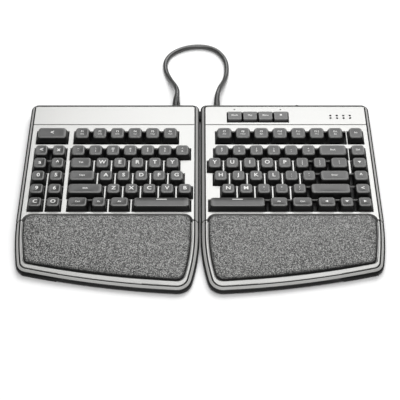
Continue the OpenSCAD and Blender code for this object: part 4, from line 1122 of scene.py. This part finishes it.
class KEYBOARD_OT_shells(bpy.types.Operator):
    """Adds the trays, bands, covers and palm frames with rounded edges"""

    bl_idname = "keyboard.shells"
    bl_label = "Case shells"

    def execute(self, context):
        sizes = context.scene.keyboard_sizes
        tray, band, bar = sizes.tray_edge, sizes.band_edge, 0.3 * MM
        for half in HALVES:
            for part in ("base", "palm_base"):
                refined(f"{half}_{part}", f"{half}_{part}_tray", (bar, tray, 0.0), segments=2)
            for part in ("side_band", "palm_band"):
                refined(f"{half}_{part}", f"{half}_{part}_trim", (band, band, band), segments=2)
            for part in ("top_cover", "rear_cover", "palm_frame"):
                # Palm frames take a darker grade of the paint as painted shade
                refined(
                    f"{half}_{part}", f"{half}_{part}_shell",
                    (sizes.back_edge, sizes.cover_edge, sizes.opening_edge),
                    lambda place: place.z > 0.5 * CASE_TOP,
                    # The rounded edges get painted shade
                    finish="palm_silver_shaded" if part == "palm_frame" else None, edge="painted_edge_shade")
        refined("pivot_strap", "pivot_strap_bar", (bar, bar, bar))
        self.grommet("host_cable_grommet")
        return {"FINISHED"}

    def grommet(self, node):
        """Turned grommet with a flange inside the wall and a nose that tapers to its bore."""
        low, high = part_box(node)
        bore, sleeve, lip, flange = 2.0 * MM, 3.2 * MM, 2.4 * MM, (high.x - low.x) / 2
        inside, chamfer, long = 1.8 * MM, 0.3 * MM, high.y - low.y
        profile = [
            (bore, 0), (flange - chamfer, 0), (flange, chamfer), (flange, inside), (sleeve, inside),
            (sleeve, BACK - low.y - 1 * MM), (lip, long), (bore, long), (bore, 0)]
        mesh = turned(node, profile, 32)
        middle = (low + high) / 2
        mesh.transform(
            Matrix.Translation((middle.x, low.y, middle.z)) @ Matrix.Rotation(math.radians(-90), 4, "X"))
        settle(smooth_piece(node + "_ring", mesh, 30, SLOT[node]), BODY[node], SLOT[node], node)


class KEYBOARD_OT_keys(bpy.types.Operator):
    """Adds the keys and the four buttons with their legends"""

    bl_idname = "keyboard.keys"
    bl_label = "Keys"

    def execute(self, context):
        sizes = context.scene.keyboard_sizes
        stem = (2.8 * MM, DOME_TOP + 0.05 * MM)
        front, back = cells("left_space_bar")[0][0].y, cells("escape_key")[0][0].y
        for node in LEGENDS:
            found = cells(node)
            width = min(width for _, width, _ in found)
            depth = found[0][2]
            places = [Vector((c.x, c.y, 0)) for c, _, _ in found]
            stretches = [w - width for _, w, _ in found]
            tilts = [sizes.cap_tilt * (2 * (c.y - front) / (back - front) - 1) for c in places]
            if node.startswith("hot_button"):
                leans = (0.8 * MM, 0.8 * MM, 3 * MM)
                form = CapForm(width, depth, BUTTON_TOP, sizes, leans, 0.1 * MM, stem)
                form.corner, form.fillet = 0.8 * MM, 0.4 * MM
                tilts = [0.0]
            else:
                side = sizes.slot_side_lean if node in SLOT_ROWS else sizes.cap_side_lean
                dish = -0.5 * MM if node in SPACE_BARS else sizes.cap_dish
                leans = (side, sizes.cap_back_lean, sizes.cap_front_lean)
                form = CapForm(width, depth, CASE_TOP + sizes.cap_rise, sizes, leans, dish, stem)
            piece = repeated(
                node + "_caps", form.mesh(node), places, "key_skirt", SLOT[node], stretch=stretches, tilt=tilts)
            settle(piece, BODY[node], SLOT[node], node)
            print_legends(node, form, places, stretches, tilts)
        return {"FINISHED"}


class KEYBOARD_OT_domes(bpy.types.Operator):
    """Adds the dome sheets, with a dome under each key"""

    bl_idname = "keyboard.domes"
    bl_label = "Key works"

    def execute(self, context):
        low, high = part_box("left_contact_sheet")
        thick = high.z - low.z
        foot = DOME_FOOT + thick
        for half in HALVES:
            bm = merged_bmesh(f"{half}_contact_sheet")
            bmesh.ops.translate(bm, verts=bm.verts, vec=(0, 0, thick))
            web = dressed(f"{half}_dome_web", bm, "silicone")
            settle(web, f"{half}_half", "silicone", f"{half}_dome_sheet")
        for node in LEGENDS:
            found = cells(node)
            half = "left_half" if found[0][0].x < 0 else "right_half"
            travel = next(j for j in frame["joints"] if j["name"] == node + "_press")["range_m"][1]
            crushed = 0.2 * MM
            rise = travel + crushed
            profile = [
                (0, foot), (5 * MM, foot), (4.7 * MM, foot + 0.25 * rise), (4.0 * MM, foot + 0.7 * rise),
                (3.5 * MM, foot + 0.9 * rise), (3.1 * MM, foot + rise), (0, foot + rise)]
            mesh = turned("dome", profile, 20)
            smooth(mesh, 40)
            piece = repeated(
                node + "_domes", mesh, [Vector((c.x, c.y, 0)) for c, _, _ in found], "silicone")
            settle(piece, half, "silicone")
            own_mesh(piece)
        for node in ("left_contact_sheet", "right_contact_sheet", "left_key_guide", "right_key_guide",
                     "controller_board"):
            materials = frame["nodes"][node].data.materials
            materials.clear()
            materials.append(finish_for(SLOT[node]))
        return {"FINISHED"}


class KEYBOARD_OT_pads(bpy.types.Operator):
    """Adds the padded palm rests"""

    bl_idname = "keyboard.pads"
    bl_label = "Palm pads"

    def execute(self, context):
        sizes = context.scene.keyboard_sizes
        for half in HALVES:
            node = f"{half}_palm_pad"
            piece = add_object(f"{half}_palm_cushion", self.cover(node, sizes))
            self.swell(context, piece)
            finer = piece.modifiers.new("Round", "SUBSURF")
            finer.levels = finer.render_levels = 1
            make_plain(piece)
            smooth(piece.data, 60)
            piece.data.materials.append(finish_for(SLOT[node]))
            settle(piece, BODY[node], SLOT[node], node)
        return {"FINISHED"}

    def cover(self, node, sizes):
        """Even mesh laid over a CAD pad in rings that follow its outline."""
        form = merged_bmesh(node)
        tree = BVHTree.FromBMesh(form)
        flat = [vert.co.xy for vert in form.verts]
        form.free()
        hull = [flat[k] for k in convex_hull_2d(flat)]
        outline = self.even(hull, sizes.pad_mesh)
        low = Vector([min(point[axis] for point in hull) for axis in range(2)])
        high = Vector([max(point[axis] for point in hull) for axis in range(2)])
        half_depth = (high.y - low.y) / 2
        first, last, middle = low.x + half_depth, high.x - half_depth, low.y + half_depth
        bm = bmesh.new()
        rim = bm.verts.layers.float.new("rim")
        held = bm.verts.layers.deform.verify()
        # Rings below close the cover; those on top lie closer together at the rim
        below, near_rim = (0.1, 0.5, 0.9), (0.996, 0.985, 0.972, 0.955, 0.93)
        rings = [(share, 1) for share in below]
        rings += [(share, -1) for share in (*near_rim, *(0.9 - 0.08 * k for k in range(11)))]
        # The cover starts slightly smaller than the form, less so near its edge, where it is held
        slack, ease, held_rim = 0.3 * MM, 6 * MM, 2 * MM
        made = []
        for share, way in rings:
            row = []
            for edge in outline:
                spine = Vector((max(first, min(last, edge.x)), middle))
                place = spine.lerp(edge, share)
                hit = tree.ray_cast(Vector((place.x, place.y, -way)), Vector((0, 0, way)))[0]
                vert = bm.verts.new(hit)
                inside = (edge - place).length
                vert.co.z += slack * way * min(1.0, inside / ease)
                # Painted shade, darkest at the cover's rim
                vert[rim] = max(0.0, min(1.0, 1.5 - inside / sizes.pad_rim))
                vert[held][0] = 1.0 if way > 0 or inside < held_rim else 0.0
                row.append(vert)
            made.append(row)
        for lower, upper in zip(made, made[1:]):
            for k in range(len(outline)):
                after = (k + 1) % len(outline)
                bm.faces.new((lower[k], lower[after], upper[after], upper[k]))
        caps = [bm.faces.new(made[0]), bm.faces.new(made[-1])]
        bmesh.ops.triangulate(bm, faces=caps)
        return mesh_from(node, bm)

    def even(self, hull, step):
        """Points at even steps round an outline."""
        sides = [(a, b, (b - a).length) for a, b in zip(hull, hull[1:] + hull[:1])]
        count = round(sum(size for _, _, size in sides) / step)
        step = sum(size for _, _, size in sides) / count
        points, left = [], 0.0
        for a, b, size in sides:
            while left < size and len(points) < count:
                points.append(a.lerp(b, left / size))
                left += step
            left -= size
        return points

    def swell(self, context, piece):
        """Blows the cover up a little by a cloth simulation, held at its rim."""
        before = [vert.co.copy() for vert in piece.data.vertices]
        piece.vertex_groups.new(name="held")
        cloth = piece.modifiers.new("Cloth", "CLOTH")
        cloth.settings.quality = 6
        cloth.settings.use_pressure = True
        cloth.settings.uniform_pressure_force = 4.0
        cloth.settings.effector_weights.gravity = 0
        cloth.settings.vertex_group_mass = "held"
        last = 20
        cloth.point_cache.frame_start, cloth.point_cache.frame_end = 1, last
        for k in range(1, last + 1):
            context.scene.frame_set(k)
        make_plain(piece)
        context.scene.frame_set(1)
        side, limit = 0.25 * MM, context.scene.keyboard_sizes.pad_swell
        for vert, old in zip(piece.data.vertices, before):
            x, y, z = vert.co - old
            vert.co = old + Vector((
                max(-side, min(side, x)), max(-side, min(side, y)), max(-limit, min(limit, z))))


class KEYBOARD_OT_fittings(bpy.types.Operator):
    """Adds the feet, screws, lights and the marks on the rear panel"""

    bl_idname = "keyboard.fittings"
    bl_label = "Fittings"

    def execute(self, context):
        for half in HALVES:
            self.feet(f"{half}_feet")
            self.screws(f"{half}_screws")
        self.lenses("indicator_lenses")
        self.marks()
        return {"FINISHED"}

    def feet(self, node):
        """Round feet with a sunk middle."""
        found = solids(node)
        low, high = found[0]
        radius, top = (high.x - low.x) / 2, high.z
        profile = [
            (0, 0.3 * MM), (0.55 * radius, 0.3 * MM), (0.6 * radius, 0), (0.88 * radius, 0),
            (radius, 0.5 * MM), (radius, top), (0, top)]
        mesh = turned("foot", profile, 32)
        smooth(mesh, 30)
        settle(repeated(node + "_pads", mesh, middles(found), SLOT[node]), BODY[node], SLOT[node], node)

    def screws(self, node):
        """Screws, each as long as its CAD solid."""
        found = solids(node)
        head = 1.0 * MM
        mesh = self.screw_mesh(head)
        places = [Vector(((a.x + b.x) / 2, (a.y + b.y) / 2, a.z)) for a, b in found]
        shanks = [b.z - a.z - 2 * head for a, b in found]
        piece = repeated(node + "_cross", mesh, places, SLOT[node], stretch=shanks)
        settle(piece, BODY[node], SLOT[node], node)

    def screw_mesh(self, head):
        """Pan head with a cross recess below, and a shank whose tip is moved by the stretch."""
        bm = bmesh.new()
        grow = bm.verts.layers.float_vector.new("grow")
        steps, arm, width = 24, 1.5 * MM, 0.35 * MM

        def circle(radius, z, way=0.0):
            angles = [2 * math.pi * k / steps for k in range(steps)]
            ring = [bm.verts.new((radius * math.cos(a), radius * math.sin(a), z)) for a in angles]
            for vert in ring:
                vert[grow] = (0, 0, way)
            return ring

        def wall(a, b):
            for k in range(len(a)):
                after = (k + 1) % len(a)
                bm.faces.new((a[k], a[after], b[after], b[k]))

        cross = [
            (arm, -width), (arm, width), (width, width), (width, arm), (-width, arm), (-width, width),
            (-arm, width), (-arm, -width), (-width, -width), (-width, -arm), (width, -arm), (width, -width)]
        rings = [
            circle(2.2 * MM, 0), circle(2.6 * MM, 0.35 * head), circle(2.6 * MM, head), circle(1.4 * MM, head),
            circle(1.4 * MM, 2 * head, 1.0)]
        for a, b in zip(rings, rings[1:]):
            wall(a, b)
        bm.faces.new(rings[-1])
        mouth = [bm.verts.new((x, y, 0)) for x, y in cross]
        floor = [bm.verts.new((0.7 * x, 0.7 * y, 0.7 * head)) for x, y in cross]
        wall(mouth, floor)
        bm.faces.new(floor)
        edges = [bm.edges.get((mouth[k], mouth[(k + 1) % len(mouth)])) for k in range(len(mouth))]
        edges += [bm.edges.get((rings[0][k], rings[0][(k + 1) % steps])) for k in range(steps)]
        bmesh.ops.triangle_fill(bm, edges=edges, use_beauty=True)
        mesh = mesh_from("screw", bm)
        smooth(mesh, 30)
        return mesh

    def lenses(self, node):
        """Lenses with a lip on the cover and a low dome."""
        found = solids(node)
        low, high = found[0]
        radius = (high.x - low.x) / 2
        dome, steps = 0.25 * MM, 6
        lip, seat, brim = radius + 0.3 * MM, CASE_TOP + 0.02 * MM, CASE_TOP + 0.05 * MM
        profile = [(0, low.z), (radius, low.z), (radius, seat), (lip, seat)]
        for k in range(steps + 1):
            a = math.radians(90 * k / steps)
            profile.append((lip * math.cos(a) if k < steps else 0, brim + dome * math.sin(a)))
        mesh = turned("lens", profile, 20)
        smooth(mesh, 40)
        settle(repeated(node + "_domed", mesh, middles(found), SLOT[node]), BODY[node], SLOT[node], node)

    def marks(self):
        """Small printed marks behind the first and last buttons."""
        bm = bmesh.new()
        height, bold, gap = 2.9 * MM, 0.05, 5.0 * MM
        level = CASE_TOP + bpy.context.scene.keyboard_sizes.ink_depth / 2
        for node, sign in (("hot_button_1", "down"), ("hot_button_4", "+")):
            low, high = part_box(node)
            place = Vector(((low.x + high.x) / 2, high.y + gap, 0))
            add_word(bm, sign, height, bold, place, lambda x, y: level)
        settle(dressed("panel_marks", bm, "panel_ink"), "right_half", "silver_case")


class KEYBOARD_PT_sidebar(bpy.types.Panel):
    """Lists the keyboard's sizes, colours and builders"""

    bl_idname = "KEYBOARD_PT_sidebar"
    bl_label = "Split keyboard"
    bl_space_type = "VIEW_3D"
    bl_region_type = "UI"
    bl_category = "Keyboard"

    def draw(self, context):
        for group in (context.scene.keyboard_sizes, context.scene.keyboard_colours):
            column = self.layout.column()
            for name in group.__annotations__:
                column.prop(group, name)
        for operator in OPERATORS:
            self.layout.operator(operator.bl_idname)


OPERATORS = (
    KEYBOARD_OT_stage, KEYBOARD_OT_cable, KEYBOARD_OT_shells, KEYBOARD_OT_keys, KEYBOARD_OT_domes,
    KEYBOARD_OT_pads, KEYBOARD_OT_fittings,
)
CLASSES = (KeyboardSizes, KeyboardColours, *OPERATORS, KEYBOARD_PT_sidebar)


def register():
    for cls in CLASSES:
        bpy.utils.register_class(cls)
    bpy.types.Scene.keyboard_sizes = PointerProperty(type=KeyboardSizes)
    bpy.types.Scene.keyboard_colours = PointerProperty(type=KeyboardColours)


def unregister():
    del bpy.types.Scene.keyboard_colours
    del bpy.types.Scene.keyboard_sizes
    for cls in reversed(CLASSES):
        bpy.utils.unregister_class(cls)


def main():
    register()
    bpy.ops.keyboard.stage()
    bpy.ops.keyboard.cable()
    bpy.ops.keyboard.shells()
    bpy.ops.keyboard.keys()
    bpy.ops.keyboard.domes()
    bpy.ops.keyboard.pads()
    bpy.ops.keyboard.fittings()
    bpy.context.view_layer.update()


if __name__ == "__main__":
    main()
